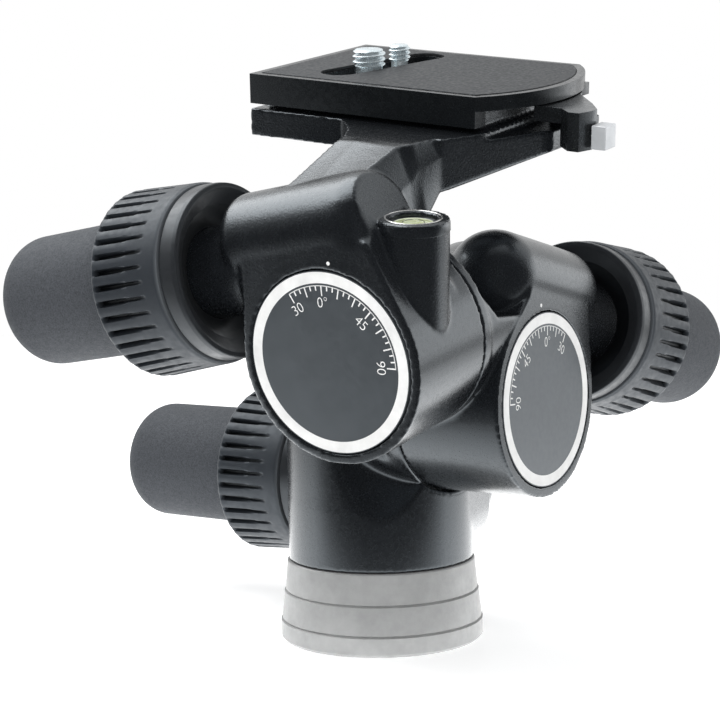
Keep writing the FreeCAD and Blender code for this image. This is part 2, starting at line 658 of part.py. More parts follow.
def make_tilt_body():
    """The body that turns about X and carries the fixed roll shaft along Y."""
    height = v["tilt_axis_height"]
    across = v["roll_axis_across"]
    flange_back = v["roll_flange_width"] - v["roll_seam"]
    barrel = rod_x("tilt_barrel", v["housing_radius"], v["tilt_seam"], v["tilt_face"], 0, height)
    flange = rod_y("roll_flange", v["housing_radius"], -v["roll_seam"], flange_back, across, roll_axis_height)
    neck = rod_y("roll_neck", v["roll_neck_radius"], flange_back - 1, v["joint_shaft_radius"],
                 across, roll_axis_height)
    web_back = v["web_depth"] - v["roll_seam"]
    web_round = rod_y("web_round", v["housing_radius"] - v["gap"], -v["roll_seam"], web_back, across,
                      roll_axis_height)
    web_side = padded("web_side", "YZ_Plane", [
        (-v["roll_seam"], v["web_bottom"]),
        (web_back, v["web_bottom"]),
        (web_back, v["web_low_height"]),
        (v["web_slope_end"] - v["roll_seam"], v["web_slope_height"]),
        (v["web_step"] - v["roll_seam"], v["web_step_height"]),
        (-v["roll_seam"], v["web_top"]),
    ], v["housing_radius"] + v["gap"], across)
    web = common("roll_web", web_round, web_side)
    wall = worm_wall("tilt_wall", TILT_DRIVE, v["worm_setback"], v["tilt_wall_lean"], v["tube_offset"],
                     v["tilt_wall_reach"])
    tube = worm_tube("tilt_tube", TILT_DRIVE, v["tube_offset"], v["tube_radius"], v["tube_radius"],
                     v["dome_reach"], v["dome_round"])
    body = fused("tilt_cast", [barrel, flange, neck, web, wall] + tube)
    setback = v["tilt_face"] - v["worm_setback"]
    cavity_start = setback - v["wheel_width"] / 2 - v["gap"]
    shaft_end = v["roll_shaft_depth"] - v["roll_seam"]
    tools = [
        rod_x("tilt_side_clear", v["housing_radius"] + v["gap"] * 2, -v["housing_radius"], v["tilt_seam"],
              0, height),
        rod_x("tilt_journal", v["joint_shaft_radius"] + v["running"], v["tilt_seam"] - 1, cavity_start + 1,
              0, height),
        rod_x("tilt_cavity", cavity_radius, cavity_start, v["tilt_face"] + 1, 0, height),
        rod_x("tilt_dial_recess", v["dial_radius"] + v["gap"], v["tilt_face"] - v["dial_thickness"] - v["gap"],
              v["tilt_face"] + 1, 0, height),
        rod_y("roll_shaft_bore", v["joint_shaft_radius"], -v["roll_seam"] - 1, shaft_end, across,
              roll_axis_height),
        worm_bore("tilt_bore", TILT_DRIVE),
    ]
    node("tilt_housing", cut("tilt_housing_body", body, tools), TILT_FRAME)
    worm_drive("tilt", TILT_FRAME + " * " + TILT_DRIVE)
    dial_back = v["dial_thickness"] - v["roll_face"]
    for label, radius, start, end in (("roll_shaft", v["joint_shaft_radius"], dial_back, shaft_end),
                                      ("roll_dial", v["dial_radius"], -v["roll_face"], dial_back)):
        place = TILT_FRAME + " * " + placement((across, start, roll_axis_height), X_AXIS, -90)
        node(label, rod(label, radius, end - start, place))
    wheel_place = placement((across, v["worm_setback"] - v["roll_face"], roll_axis_height), X_AXIS, -90)
    worm_wheel("roll_worm_wheel", v["joint_shaft_radius"], TILT_FRAME + " * " + wheel_place)


# ---------------------------------------------------------------- roll body


def arm_section(body, number):
    """One section of the arm, as a sketch across Y."""
    def size(name):
        return v["arm_%s_%d" % (name, number)]
    sketch = closed_sketch(body, "arm_section_%d" % number, "XZ_Plane", [
        (size("left"), size("foot_height")),
        (size("foot"), size("foot_height")),
        (size("side"), size("side_height")),
        (size("ridge"), size("ridge_height")),
        (size("shoulder"), size("shoulder_height")),
        (size("left"), size("left_height")),
    ])
    sketch.setExpression("AttachmentOffset.Base.z", (-size("place")).text)
    return sketch


def make_arm():
    """The arm from the worm tube back to the platform, and the deck with its brackets."""
    top = v["platform_top"]
    arm = doc.addObject("PartDesign::Body", "arm")
    sections = [arm_section(arm, number) for number in range(len(ARM_SECTIONS))]
    loft = arm.newObject("PartDesign::AdditiveLoft", "arm_loft")
    loft.Profile = sections[0]
    loft.Sections = sections[1:]
    loft.Ruled = True
    doc.recompute()

    # the outer face of the bracket is one plane from the arm to its far end
    lean = (v["bracket_end"] - v["bracket_start"]) / (v["bracket_end_near"] - v["bracket_near"])
    step_near = v["bracket_near"] + (v["deck_end"] - v["bracket_start"]) / lean
    deck_low = top - v["deck_thickness"]
    deck = padded("platform_deck", "XY_Plane", [
        (v["platform_left"], v["platform_near"]),
        (v["deck_front"], v["platform_near"]),
        (v["arm_left_3"], v["arm_place_3"]),
        (v["bracket_start"], v["bracket_near"]),
        (v["deck_end"], step_near),
        (v["deck_end"], v["platform_far"]),
        (v["platform_left"], v["platform_far"]),
    ], v["deck_thickness"], deck_low)
    shelf = padded("lever_shelf", "XY_Plane", [
        (v["deck_end"] - v["rib_width"], step_near),
        (v["deck_end"], step_near),
        (v["bracket_end"], v["bracket_end_near"]),
        (v["bracket_end"], v["platform_far"] - v["deck_corner"]),
        (v["deck_end"], v["platform_far"]),
        (v["deck_end"] - v["rib_width"], v["platform_far"]),
    ], v["deck_thickness"] - v["deck_step"], deck_low)
    left_block = block("platform_block", (v["platform_left"], v["platform_near"], top - v["platform_thickness"]),
                       (v["platform_block_end"], v["platform_far"], top))
    taper = padded("bracket_taper", "XZ_Plane", [
        (v["platform_block_end"], top),
        (v["platform_block_end"], top - v["platform_thickness"]),
        (v["arm_shoulder_3"], top - v["bracket_depth"]),
        (v["bracket_start"], top - v["bracket_depth"]),
        (v["bracket_end"], top - v["bracket_end_depth"]),
        (v["bracket_end"], top - v["deck_step"]),
        (v["deck_end"], top - v["deck_step"]),
        (v["deck_end"], top),
    ], v["platform_far"] - v["bracket_near"], -v["platform_far"])
    wall = v["rib_width"]
    front_rib = padded("bracket_front", "XY_Plane", [
        (v["bracket_start"] - wall, v["bracket_near"]),
        (v["bracket_start"], v["bracket_near"]),
        (v["bracket_end"], v["bracket_end_near"]),
        (v["bracket_end"], v["platform_far"] - v["deck_corner"]),
        (v["bracket_end"] - wall, v["platform_far"] - v["deck_corner"]),
        (v["bracket_end"] - wall, v["bracket_end_near"]),
    ], top)
    ribs = [front_rib]
    for number, place in enumerate((v["arm_place_5"], v["platform_far"] - v["deck_corner"] - wall)):
        ribs.append(block("bracket_rib_%d" % number, (v["platform_block_end"], place, 0),
                          (v["bracket_end"], place + wall, top)))
    brackets = common("brackets", fused("bracket_ribs", ribs), taper)
    rail = block("platform_rail",
                 (v["platform_left"] + v["rail_inset"], v["platform_near"] + v["skirt_width"] + v["gap"], top - 1),
                 (v["plate_straight_end"] - v["rail_inset"], v["platform_far"] - v["skirt_width"] - v["gap"],
                  plate_top - v["plate_slab"] - v["gap"]))
    screw_room = slot_tool("platform_screw_room", v["large_head_radius"] * 2 + 3,
                           top - v["gap"], plate_top)
    rail_cut = cut("platform_rail_cut", rail, [screw_room])
    return [arm, deck, shelf, left_block, brackets, rail_cut]


def slot_tool(name, width, low, high):
    """A slot with round ends, along the line that the camera screws slide on."""
    half = v["slot_length"] / 2
    radius = as_size(width) / 2
    middle = padded(name + "_middle", "XY_Plane", [
        (-radius, -half), (radius, -half), (radius, half), (-radius, half),
    ], as_size(high) - low, low)
    ends = [rod_z("%s_end_%d" % (name, number), radius, low, high, 0, half * side)
            for number, side in enumerate((-1, 1))]
    tool = fused(name, [middle] + ends)
    return put(tool, placement((v["slot_across"], v["slot_middle"], 0), Z_AXIS, -v["slot_turn"]))


def make_roll_body():
    """The body that turns about Y: barrel, worm tube, spirit level, arm and platform."""
    across = v["roll_axis_across"]
    clear_seam = -v["roll_seam"] - v["gap"]
    barrel = rod_y("roll_barrel", v["housing_radius"], -v["roll_face"], clear_seam, across, roll_axis_height)
    level = rod_z("level_post", v["level_radius"], roll_axis_height, v["level_top"],
                  v["level_across"], -v["level_forward"])
    wall = worm_wall("roll_wall", ROLL_DRIVE, v["worm_setback"], v["wall_lean"], v["wall_top"],
                     v["wall_half_length"])
    tube, stem = worm_tube("roll_tube", ROLL_DRIVE, v["tube_offset"], v["tube_radius"], v["tube_radius"],
                           v["dome_reach"], v["dome_round"])
    # the side of the wall carries on up across the end of the tube
    top = v["tube_offset"] + v["tube_radius"] + 1
    side_end = v["wall_half_length"] - (top - v["wall_top"]) * v["end_lean"]
    far_end = v["dome_reach"] + v["wall_half_length"]
    end_cut = padded("roll_end_cut", "XZ_Plane", [
        (v["wall_top"], -v["wall_half_length"]),
        (top, -side_end),
        (top, -far_end),
        (-v["tube_radius"], -far_end),
        (-v["tube_radius"], -v["wall_half_length"] - (v["tube_radius"] + v["wall_top"]) * v["end_lean"]),
    ], v["tube_radius"] * 4, -v["tube_radius"] * 2)
    put(end_cut, ROLL_DRIVE)
    tube = cut("roll_tube_end", tube, [end_cut])
    body = fused("roll_cast", [barrel, wall, level, tube, stem] + make_arm())
    setback = v["worm_setback"] - v["roll_face"]
    cavity_end = setback + v["wheel_width"] / 2 + v["gap"]
    tools = [
        rod_y("roll_side_clear", v["housing_radius"] + v["gap"] * 2, clear_seam, v["platform_far"], across,
              roll_axis_height),
        rod_y("roll_journal", v["joint_shaft_radius"] + v["running"], cavity_end - 1, clear_seam + 1, across,
              roll_axis_height),
        rod_y("roll_cavity", cavity_radius, -v["roll_face"] - 1, cavity_end, across, roll_axis_height),
        rod_y("roll_dial_recess", v["dial_radius"] + v["gap"], -v["roll_face"] - 1,
              v["dial_thickness"] + v["gap"] - v["roll_face"], across, roll_axis_height),
        worm_bore("roll_bore", ROLL_DRIVE),
        rod_z("vial_bore", v["vial_radius"], v["level_top"] - v["vial_height"], v["level_top"] + 1,
              v["level_across"], -v["level_forward"]),
        rod_z("lever_bore", v["pivot_radius"], v["platform_top"] - v["deck_thickness"] - 1, v["platform_top"] + 1,
              v["pivot_across"], v["pivot_near"]),
    ]
    node("roll_housing", cut("roll_housing_body", body, tools), ROLL_FRAME)
    worm_drive("roll", ROLL_FRAME + " * " + ROLL_DRIVE)
    vial_place = placement((v["level_across"], -v["level_forward"], v["level_top"] - v["vial_height"]))
    node("level_vial", rod("level_vial", v["vial_radius"], v["vial_height"] - v["gap"], vial_place),
         ROLL_FRAME + " * " + vial_place)


# ---------------------------------------------------------------- lever and safety catch


def make_lever():
    """The lever that locks the plate, its pivot pin, and the safety catch on its thumb piece."""
    low = v["platform_top"] - v["deck_step"] + v["gap"]
    top = plate_top - v["plate_slab"] - v["gap"]
    hub = rod_z("lever_hub", v["lever_hub_radius"], low, top, v["pivot_across"], v["pivot_near"])
    corner = v["thumb_corner"]
    arm = padded("lever_arm", "XY_Plane", [
        (v["lever_left"], v["lever_near"]),
        (v["thumb_left"] + 1, v["lever_near"]),
        (v["thumb_left"] + corner, v["thumb_far"]),
        (v["pivot_across"] + v["lever_hub_radius"], v["pivot_near"]),
        (v["pivot_across"] - v["lever_hub_radius"], v["pivot_near"]),
    ], v["arm_thickness"], top - v["arm_thickness"])
    thumb = padded("lever_thumb", "XY_Plane", [
        (v["thumb_left"], v["thumb_near"] + corner),
        (v["thumb_left"] + corner, v["thumb_near"]),
        (v["thumb_right"] - corner / 3, v["thumb_near"]),
        (v["thumb_right"], v["thumb_near"] + corner),
        (v["thumb_right"], v["thumb_far"] - corner * 1.5),
        (v["thumb_left"] + corner, v["thumb_far"]),
        (v["thumb_left"], v["thumb_far"] - corner / 2),
    ], top - v["thumb_bottom"], v["thumb_bottom"])
    pin_top = top - v["gap"]
    bore = rod_z("lever_hole", v["pivot_radius"] + v["running"], low - 1, pin_top + v["gap"] / 2,
                 v["pivot_across"], v["pivot_near"])
    catch_middle = v["catch_near"] + v["catch_length"] / 2
    pin_height = (v["catch_bottom"] + v["catch_top"]) / 2
    pin_start = v["thumb_right"] - v["catch_pin_depth"]
    pin_end = v["catch_across"] + v["catch_width"] / 2
    seat = rod_x("catch_pin_seat", v["catch_pin_radius"], pin_start, v["thumb_right"] + 1, catch_middle, pin_height)
    body = fused("lever_cast", [hub, arm, thumb])
    node("lock_lever", cut("lock_lever_body", body, [bore, seat]), ROLL_FRAME)
    pin_low = v["platform_top"] - v["deck_thickness"]
    pin_place = placement((v["pivot_across"], v["pivot_near"], pin_low))
    node("lever_pivot", rod("lever_pivot", v["pivot_radius"], pin_top - pin_low, pin_place),
         ROLL_FRAME + " * " + pin_place)

    catch = block("catch_block", (v["catch_across"], v["catch_near"], v["catch_bottom"]),
                  (v["catch_across"] + v["catch_width"], v["catch_near"] + v["catch_length"], v["catch_top"]))
    hole = rod_x("catch_hole", v["catch_pin_radius"] + v["running"], v["catch_across"] - 1, pin_end + v["gap"],
                 catch_middle, pin_height)
    node("safety_catch", cut("safety_catch_body", catch, [hole]), ROLL_FRAME)
    place = placement((pin_start, catch_middle, pin_height), Y_AXIS, 90)
    node("catch_pin", rod("catch_pin", v["catch_pin_radius"], pin_end - pin_start, place),
         ROLL_FRAME + " * " + place)


# ---------------------------------------------------------------- quick release plate


def plate_outline(name, inset, low, high):
    """The plate's outline, square at one end and a shallow arc at the other, as a slab."""
    near = v["platform_near"] + inset
    far = v["platform_far"] - inset
    middle = (v["platform_near"] + v["platform_far"]) / 2
    half = (v["platform_far"] - v["platform_near"]) / 2
    rise = v["plate_tip"] - v["plate_straight_end"]
    arc_radius = (half * half + rise * rise) / (rise * 2)
    straight = block(name + "_straight", (v["plate_left"] + inset, near, low),
                     (v["plate_straight_end"] - inset, far, high))
    round_end = rod_z(name + "_round", arc_radius - inset, low, high, v["plate_tip"] - arc_radius, middle)
    window = block(name + "_window", (v["plate_tip"] - arc_radius, near, low), (v["plate_tip"], far, high))
    return fused(name, [straight, common(name + "_tip", round_end, window)])


def make_plate():
    """The plate: slab, two skirts, rubber pad, and two camera screws in its slot."""
    top = plate_top
    slab_low = top - v["plate_slab"]
    slab = plate_outline("plate_slab", as_size(0), slab_low, top)
    skirts = []
    for number, start in enumerate((v["platform_near"], v["platform_far"] - v["skirt_width"])):
        skirts.append(block("plate_skirt_%d" % number, (v["plate_left"], start, top - v["plate_depth"]),
                            (v["plate_straight_end"], start + v["skirt_width"], slab_low + 1)))
    recess = plate_outline("plate_recess", v["plate_pad_inset"], top - v["pad_recess"], top + 1)
    slot = slot_tool("plate_slot", v["plate_slot_width"], slab_low - 1, top + 2)
    head_slot = slot_tool("plate_head_slot", v["large_head_radius"] * 2 + 1, slab_low - 1,
                         slab_low + v["head_recess"])
    stop = block("plate_stop", (v["stop_across"], v["stop_near"], slab_low - v["stop_depth"]),
                 (v["stop_across"] + v["stop_width"], v["stop_near"] + v["stop_length"], slab_low + 1))
    plate = cut("quick_plate_body", fused("plate_cast", [slab, stop] + skirts), [recess, slot, head_slot])
    node("quick_plate", plate, ROLL_FRAME)
    pad = plate_outline("pad_slab", v["plate_pad_inset"] + v["gap"] / 2, top - v["pad_recess"],
                        top - v["pad_recess"] + v["pad_thickness"])
    pad_slot = slot_tool("pad_slot", v["plate_slot_width"] + 1.2, slab_low, top + 2)
    node("plate_pad", cut("plate_pad_body", pad, [pad_slot]), ROLL_FRAME)
    for name in ("large", "small"):
        camera_screw(name, slab_low)


def camera_screw(name, slab_low):
    """A camera screw: a turned head in the plate's underside, a neck through the slot and a thread."""
    radius = v[name + "_screw_radius"]
    neck = v[name + "_neck_radius"]
    head = v[name + "_head_radius"]
    top = plate_top
    head_top = slab_low + v["head_recess"] - v["gap"]
    head_low = head_top - v["screw_head_height"]
    thread_low = top + v["thread_start"]
    thread_top = top + v[name + "_screw_rise"]
    body = revolved(name + "_camera_screw", [
        (0, head_low),
        (head, head_low),
        (head, head_top),
        (neck, head_top),
        (neck, thread_low),
        (radius, thread_low + (radius - neck)),
        (radius, thread_top - v["thread_lead"]),
        (radius - v["thread_lead"], thread_top),
        (0, thread_top),
    ])
    along = v[name + "_screw_place"]
    place = placement((v["slot_across"] + along * sine(v["slot_turn"]),
                       v["slot_middle"] + along * cosine(v["slot_turn"]), 0))
    node(name + "_camera_screw", body, ROLL_FRAME + " * " + place)


# ---------------------------------------------------------------- build, check and write


def check_and_write():
    """Stop on any failed object or bad shape, then write one file for each node."""
    doc.recompute()
    for thing in doc.Objects:
        for state in thing.State:
            if state in ("Invalid", "Error"):
                raise RuntimeError("%s is %s" % (thing.Label, state))
    os.makedirs("parts", exist_ok=True)
    for label, thing in nodes.items():
        shape = thing.Shape
        if shape.isNull() or not shape.isValid() or not shape.Solids:
            raise RuntimeError("bad shape: %s" % label)
        shape.exportStep("parts/%s.step" % label)
        print("%-22s %2d solid %10.0f mm3" % (label, len(shape.Solids), shape.Volume))


make_foot()
make_pan_body()
make_tilt_body()
make_roll_body()
make_lever()
make_plate()
check_and_write()
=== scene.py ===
"""The geared tripod head's looks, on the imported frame.

Lengths in this script are millimetres until they are multiplied by MM. The frames below are the joints'
and worm drives' places in the part, so that each dressed piece is drawn where its solid is.
"""

import math

import bmesh
import bpy
import numpy as np
from mathutils import Matrix, Vector


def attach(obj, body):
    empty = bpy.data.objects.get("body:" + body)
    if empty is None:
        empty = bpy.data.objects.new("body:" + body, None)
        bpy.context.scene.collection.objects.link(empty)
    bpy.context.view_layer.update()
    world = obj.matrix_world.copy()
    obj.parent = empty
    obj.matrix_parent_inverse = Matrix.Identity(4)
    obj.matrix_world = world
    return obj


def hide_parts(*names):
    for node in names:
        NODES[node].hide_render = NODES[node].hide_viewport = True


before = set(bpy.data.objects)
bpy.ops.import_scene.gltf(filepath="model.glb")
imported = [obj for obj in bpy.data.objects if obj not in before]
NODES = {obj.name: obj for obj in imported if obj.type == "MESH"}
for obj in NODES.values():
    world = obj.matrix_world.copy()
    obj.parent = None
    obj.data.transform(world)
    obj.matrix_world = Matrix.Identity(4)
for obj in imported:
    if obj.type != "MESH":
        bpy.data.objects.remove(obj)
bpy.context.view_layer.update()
MM = 0.001

# ---------------------------------------------------------------- places


def shift(x, y, z):
    """A move, as a matrix."""
    return Matrix.Translation((x, y, z))


def turn(degrees, axis):
    """A turn about an axis through the origin, as a matrix."""
    return Matrix.Rotation(math.radians(degrees), 4, axis)


def about(point, degrees, axis):
    """A turn about an axis through a point."""
    return shift(*point) @ turn(degrees, axis) @ shift(-point[0], -point[1], -point[2])


TILT_HEIGHT = 73.1
ROLL_ACROSS, ROLL_HEIGHT = 29.3, 100.1
TILT_FACE, ROLL_FACE = 56.5, 61.6
# how far the two tilts lean at rest
TILT_LEAN, ROLL_LEAN = 11.0, 7.9
# a worm from its wheel's axis, and back from the dial's face
WORM_DISTANCE, WORM_SETBACK = 26.1, 13.2
PAN_WORM_HEIGHT = 42.3
# how far the knobs of the two tilts droop
TILT_DROOP, ROLL_DROOP = 22, 16
# the top of the spirit level's post, in the roll body
LEVEL = (46.0, -47.4, 137.5)


def worm_offset(droop):
    """How far a worm stands beside and above its wheel's axis."""
    return WORM_DISTANCE * math.sin(math.radians(droop)), WORM_DISTANCE * math.cos(math.radians(droop))


PAN = Matrix.Identity(4)
TILT = about((0, 0, TILT_HEIGHT), TILT_LEAN, "X")
ROLL = TILT @ about((ROLL_ACROSS, 0, ROLL_HEIGHT), ROLL_LEAN, "Y")

# +Z of a drive points at its knob and +X away from its wheel
TILT_WORM = worm_offset(TILT_DROOP)
ROLL_WORM = worm_offset(ROLL_DROOP)
PAN_DRIVE = shift(0, WORM_DISTANCE, PAN_WORM_HEIGHT) @ turn(-90, "Y") @ turn(90, "Z")
TILT_DRIVE = (TILT @ shift(TILT_FACE - WORM_SETBACK, TILT_WORM[0], TILT_HEIGHT + TILT_WORM[1])
              @ turn(-90 - TILT_DROOP, "X") @ turn(-90, "Z"))
ROLL_DRIVE = (ROLL @ shift(ROLL_ACROSS - ROLL_WORM[0], WORM_SETBACK - ROLL_FACE, ROLL_HEIGHT + ROLL_WORM[1])
              @ turn(-90 - ROLL_DROOP, "Y"))
# a dial's frame: +Z out of its face, +Y up at zero
TILT_DIAL = shift(TILT_FACE, 0, TILT_HEIGHT) @ turn(90, "Y") @ turn(90, "Z")
ROLL_DIAL = TILT @ shift(ROLL_ACROSS, -ROLL_FACE, ROLL_HEIGHT) @ turn(90, "X")

# ---------------------------------------------------------------- materials

# the tint of the gloss on everything that isn't metal
COOL_GLOSS = (0.84, 0.93, 1.0, 1)


class Paint:
    """A node material being built: a principled shader with helpers for its detail."""

    def __init__(self, name, color, roughness, metallic=0.0):
        self.material = bpy.data.materials.new(name)
        self.material.use_nodes = True
        self.tree = self.material.node_tree
        self.tree.nodes.clear()
        self.out = self.add("ShaderNodeOutputMaterial")
        self.shader = self.add("ShaderNodeBsdfPrincipled")
        self.link(self.shader.outputs["BSDF"], self.out.inputs["Surface"])
        self.shader.inputs["Base Color"].default_value = (*color, 1)
        self.shader.inputs["Roughness"].default_value = roughness
        self.shader.inputs["Metallic"].default_value = metallic
        if metallic == 0.0:
            self.shader.inputs["Specular Tint"].default_value = COOL_GLOSS
        self.place = self.add("ShaderNodeTexCoord").outputs["Object"]
        self.normal = None

    def add(self, kind, **settings):
        """A new node of this kind."""
        node = self.tree.nodes.new(kind)
        for key, value in settings.items():
            setattr(node, key, value)
        return node

    def link(self, start, end):
        """Lead one socket into another."""
        self.tree.links.new(start, end)

    def noise(self, per_mm, detail=3.0, roughness=0.6):
        """Noise with this many blobs per millimetre."""
        node = self.add("ShaderNodeTexNoise")
        node.inputs["Scale"].default_value = per_mm / MM
        node.inputs["Detail"].default_value = detail
        node.inputs["Roughness"].default_value = roughness
        self.link(self.place, node.inputs["Vector"])
        return node.outputs["Fac"]

    def ramp(self, value, low, high, start=0.35, end=0.65):
        """Map value between start and end onto low to high."""
        node = self.add("ShaderNodeMapRange")
        for key, number in (("From Min", start), ("From Max", end), ("To Min", low), ("To Max", high)):
            node.inputs[key].default_value = number
        self.link(value, node.inputs["Value"])
        return node.outputs["Result"]

    def colors(self, value, first, second, start=0.3, end=0.7):
        """Map value between start and end onto the blend of two colours."""
        node = self.add("ShaderNodeValToRGB")
        node.color_ramp.elements[0].position = start
        node.color_ramp.elements[0].color = (*first, 1)
        node.color_ramp.elements[1].position = end
        node.color_ramp.elements[1].color = (*second, 1)
        self.link(value, node.inputs["Fac"])
        return node.outputs["Color"]

    def base(self, color):
        """Take the base colour from a socket."""
        self.link(color, self.shader.inputs["Base Color"])

    def rough(self, value):
        """Take the roughness from a socket."""
        self.link(value, self.shader.inputs["Roughness"])

    def bump(self, height, depth_mm, strength=1.0):
        """Raise the surface by a height, over what is raised already. strength is a number or a socket."""
        node = self.add("ShaderNodeBump")
        node.inputs["Distance"].default_value = depth_mm * MM
        if isinstance(strength, float):
            node.inputs["Strength"].default_value = strength
        else:
            self.link(strength, node.inputs["Strength"])
        self.link(height, node.inputs["Height"])
        if self.normal:
            self.link(self.normal, node.inputs["Normal"])
        self.normal = node.outputs["Normal"]
        self.link(self.normal, self.shader.inputs["Normal"])

    def math(self, operation, first, second):
        """The result of an operation on two sockets."""
        node = self.add("ShaderNodeMath", operation=operation)
        self.link(first, node.inputs[0])
        self.link(second, node.inputs[1])
        return node.outputs["Value"]

    def attribute(self, name):
        """A value that the mesh carries at its points."""
        return self.add("ShaderNodeAttribute", attribute_name=name).outputs["Fac"]


def casting_paint():
    """Satin black powder coat, whose grain is coarse on the raw castings and fine where they are machined."""
    paint = Paint("casting_black", (0.0060, 0.0068, 0.0082), 0.32)
    paint.shader.inputs["Specular IOR Level"].default_value = 0.85
    grain = paint.attribute("grain")
    blotch = paint.noise(0.06, 2.0)
    paint.base(paint.colors(blotch, (0.0065, 0.0074, 0.0088), (0.0088, 0.0100, 0.0118)))
    paint.rough(paint.ramp(paint.noise(0.9, 3.0), 0.22, 0.29))
    paint.bump(paint.noise(2.1, 2.0, 0.5), 0.085, paint.ramp(grain, 0.04, 0.65, 0.0, 1.0))
    paint.bump(paint.noise(4.2, 2.0), 0.008, 0.25)
    return paint.material


def rubber_paint():
    """Dark blue grey moulded rubber, with painted shade down in its grooves and a painted highlight on its
    rim's outer edges.
    """
    paint = Paint("grip_rubber", (0.02, 0.023, 0.028), 0.52)
    # painted light: painted shade in the grooves and a painted highlight on the outer edges, from the value
    # the mesh carries
    tone = paint.colors(paint.attribute("painted_grip_light"), (0.0015, 0.0018, 0.0022), (0.085, 0.092, 0.100), 0.0, 1.0)
    middle = tone.node.color_ramp.elements.new(0.5)
    middle.color = (0.021, 0.0245, 0.030, 1)
    paint.base(tone)
    paint.rough(paint.ramp(paint.noise(0.5, 4.0), 0.42, 0.58))
    paint.bump(paint.noise(3.0, 3.0), 0.03, 0.35)
    return paint.material


def cap_paint():
    """Matte dark grey knob cap with a fine sand grain."""
    paint = Paint("cap_grey", (0.075, 0.075, 0.078), 0.75)
    speck = paint.noise(2.2, 2.0, 0.7)
    paint.base(paint.colors(speck, (0.029, 0.031, 0.036), (0.064, 0.068, 0.076)))
    paint.rough(paint.ramp(paint.noise(0.8), 0.68, 0.82))
    paint.bump(paint.noise(1.8, 4.0, 0.7), 0.10, 0.45)
    return paint.material


def metal_paint(name, first, second, roughness, grain_depth, grain_per_mm=2.0, metallic=1.0):
    """Metal with a colour that wanders between two tones, and a fine grain."""
    paint = Paint(name, first, roughness, metallic)
    paint.base(paint.colors(paint.noise(0.10, 5.0, 0.65), first, second))
    paint.rough(paint.ramp(paint.noise(0.7, 4.0), roughness - 0.06, roughness + 0.08))
    paint.bump(paint.noise(grain_per_mm, 3.0), grain_depth, 0.5)
    return paint.material


def plain_paint(name, color, roughness, depth=0.02, per_mm=2.5, specular=0.5):
    """Paint of one colour with slight blotches and a grain of this depth."""
    paint = Paint(name, color, roughness)
    paint.shader.inputs["Specular IOR Level"].default_value = specular
    darker = tuple(part * 0.82 for part in color)
    paint.base(paint.colors(paint.noise(0.15, 4.0), darker, color))
    paint.rough(paint.ramp(paint.noise(0.6, 3.0), roughness - 0.05, roughness + 0.06))
    paint.bump(paint.noise(per_mm, 3.0), depth, 0.35)
    return paint.material


def pad_paint():
    """The plate's pad: black sheet with a fine crepe texture."""
    paint = Paint("pad_rubber", (0.018, 0.018, 0.019), 0.6)
    cells = paint.add("ShaderNodeTexVoronoi")
    cells.inputs["Scale"].default_value = 1.1 / MM
    paint.link(paint.place, cells.inputs["Vector"])
    crepe = cells.outputs["Distance"]
    paint.base(paint.colors(crepe, (0.029, 0.0295, 0.031), (0.008, 0.0082, 0.009), 0.1, 0.8))
    paint.rough(paint.ramp(paint.noise(1.0), 0.5, 0.7))
    paint.bump(crepe, 0.12, 0.5)
    return paint.material


def glass_paint():
    """The level's yellow green fluid under its clear glass."""
    paint = Paint("vial_fluid", (0.68, 0.76, 0.42), 0.08)
    paint.base(paint.colors(paint.noise(0.25, 2.0), (0.58, 0.66, 0.32), (0.76, 0.82, 0.52)))
    paint.shader.inputs["Coat Weight"].default_value = 1.0
    paint.shader.inputs["Coat Roughness"].default_value = 0.02
    return paint.material


BLACK = casting_paint()
RUBBER = rubber_paint()
CAP = cap_paint()
PAD = pad_paint()
FLUID = glass_paint()
VIAL_RING = plain_paint("vial_ring", (0.62, 0.66, 0.52), 0.25, 0.004)
FOOT = metal_paint("foot_silver", (0.31, 0.315, 0.315), (0.40, 0.405, 0.405), 0.50, 0.06, 1.6, metallic=0.35)
# pale metal that stands for light: a painted highlight on the level's rounded lip
LEVEL_LIP_HIGHLIGHT = metal_paint("painted_lip_highlight", (0.72, 0.72, 0.71), (0.80, 0.80, 0.79), 0.28, 0.01)
STEEL = metal_paint("steel", (0.46, 0.47, 0.48), (0.58, 0.59, 0.60), 0.32, 0.02)
BRASS = metal_paint("brass", (0.55, 0.42, 0.20), (0.66, 0.51, 0.26), 0.34, 0.02)
ZINC = metal_paint("screw_zinc", (0.60, 0.68, 0.72), (0.74, 0.82, 0.85), 0.26, 0.015, metallic=0.7)
CATCH = metal_paint("catch_silver", (0.50, 0.52, 0.54), (0.60, 0.62, 0.64), 0.38, 0.03, metallic=0.25)
DIAL = plain_paint("dial_grey", (0.045, 0.051, 0.057), 0.38, 0.012, 3.0, 0.9)
PRINT = plain_paint("print_white", (0.82, 0.82, 0.81), 0.45, 0.004)
SLEEVE = plain_paint("sleeve_grey", (0.018, 0.0195, 0.022), 0.36)
# the deepest black: painted shade inside the knobs' mouths and round the vial, and the print of the vial's
# circle
DEEP_SHADE_AND_PRINT = plain_paint("painted_shade_and_print_black", (0.003, 0.0033, 0.004), 0.34, 0.01)
PLATE = plain_paint("plate_black", (0.0065, 0.0075, 0.0085), 0.26)
LEVER = plain_paint("lever_black", (0.010, 0.011, 0.012), 0.26, 0.04, 1.6, 1.0)


def painted(piece, paint):
    """Give the piece this as its only material."""
    piece.data.materials.clear()
    piece.data.materials.append(paint)
    return piece


# ---------------------------------------------------------------- mesh helpers


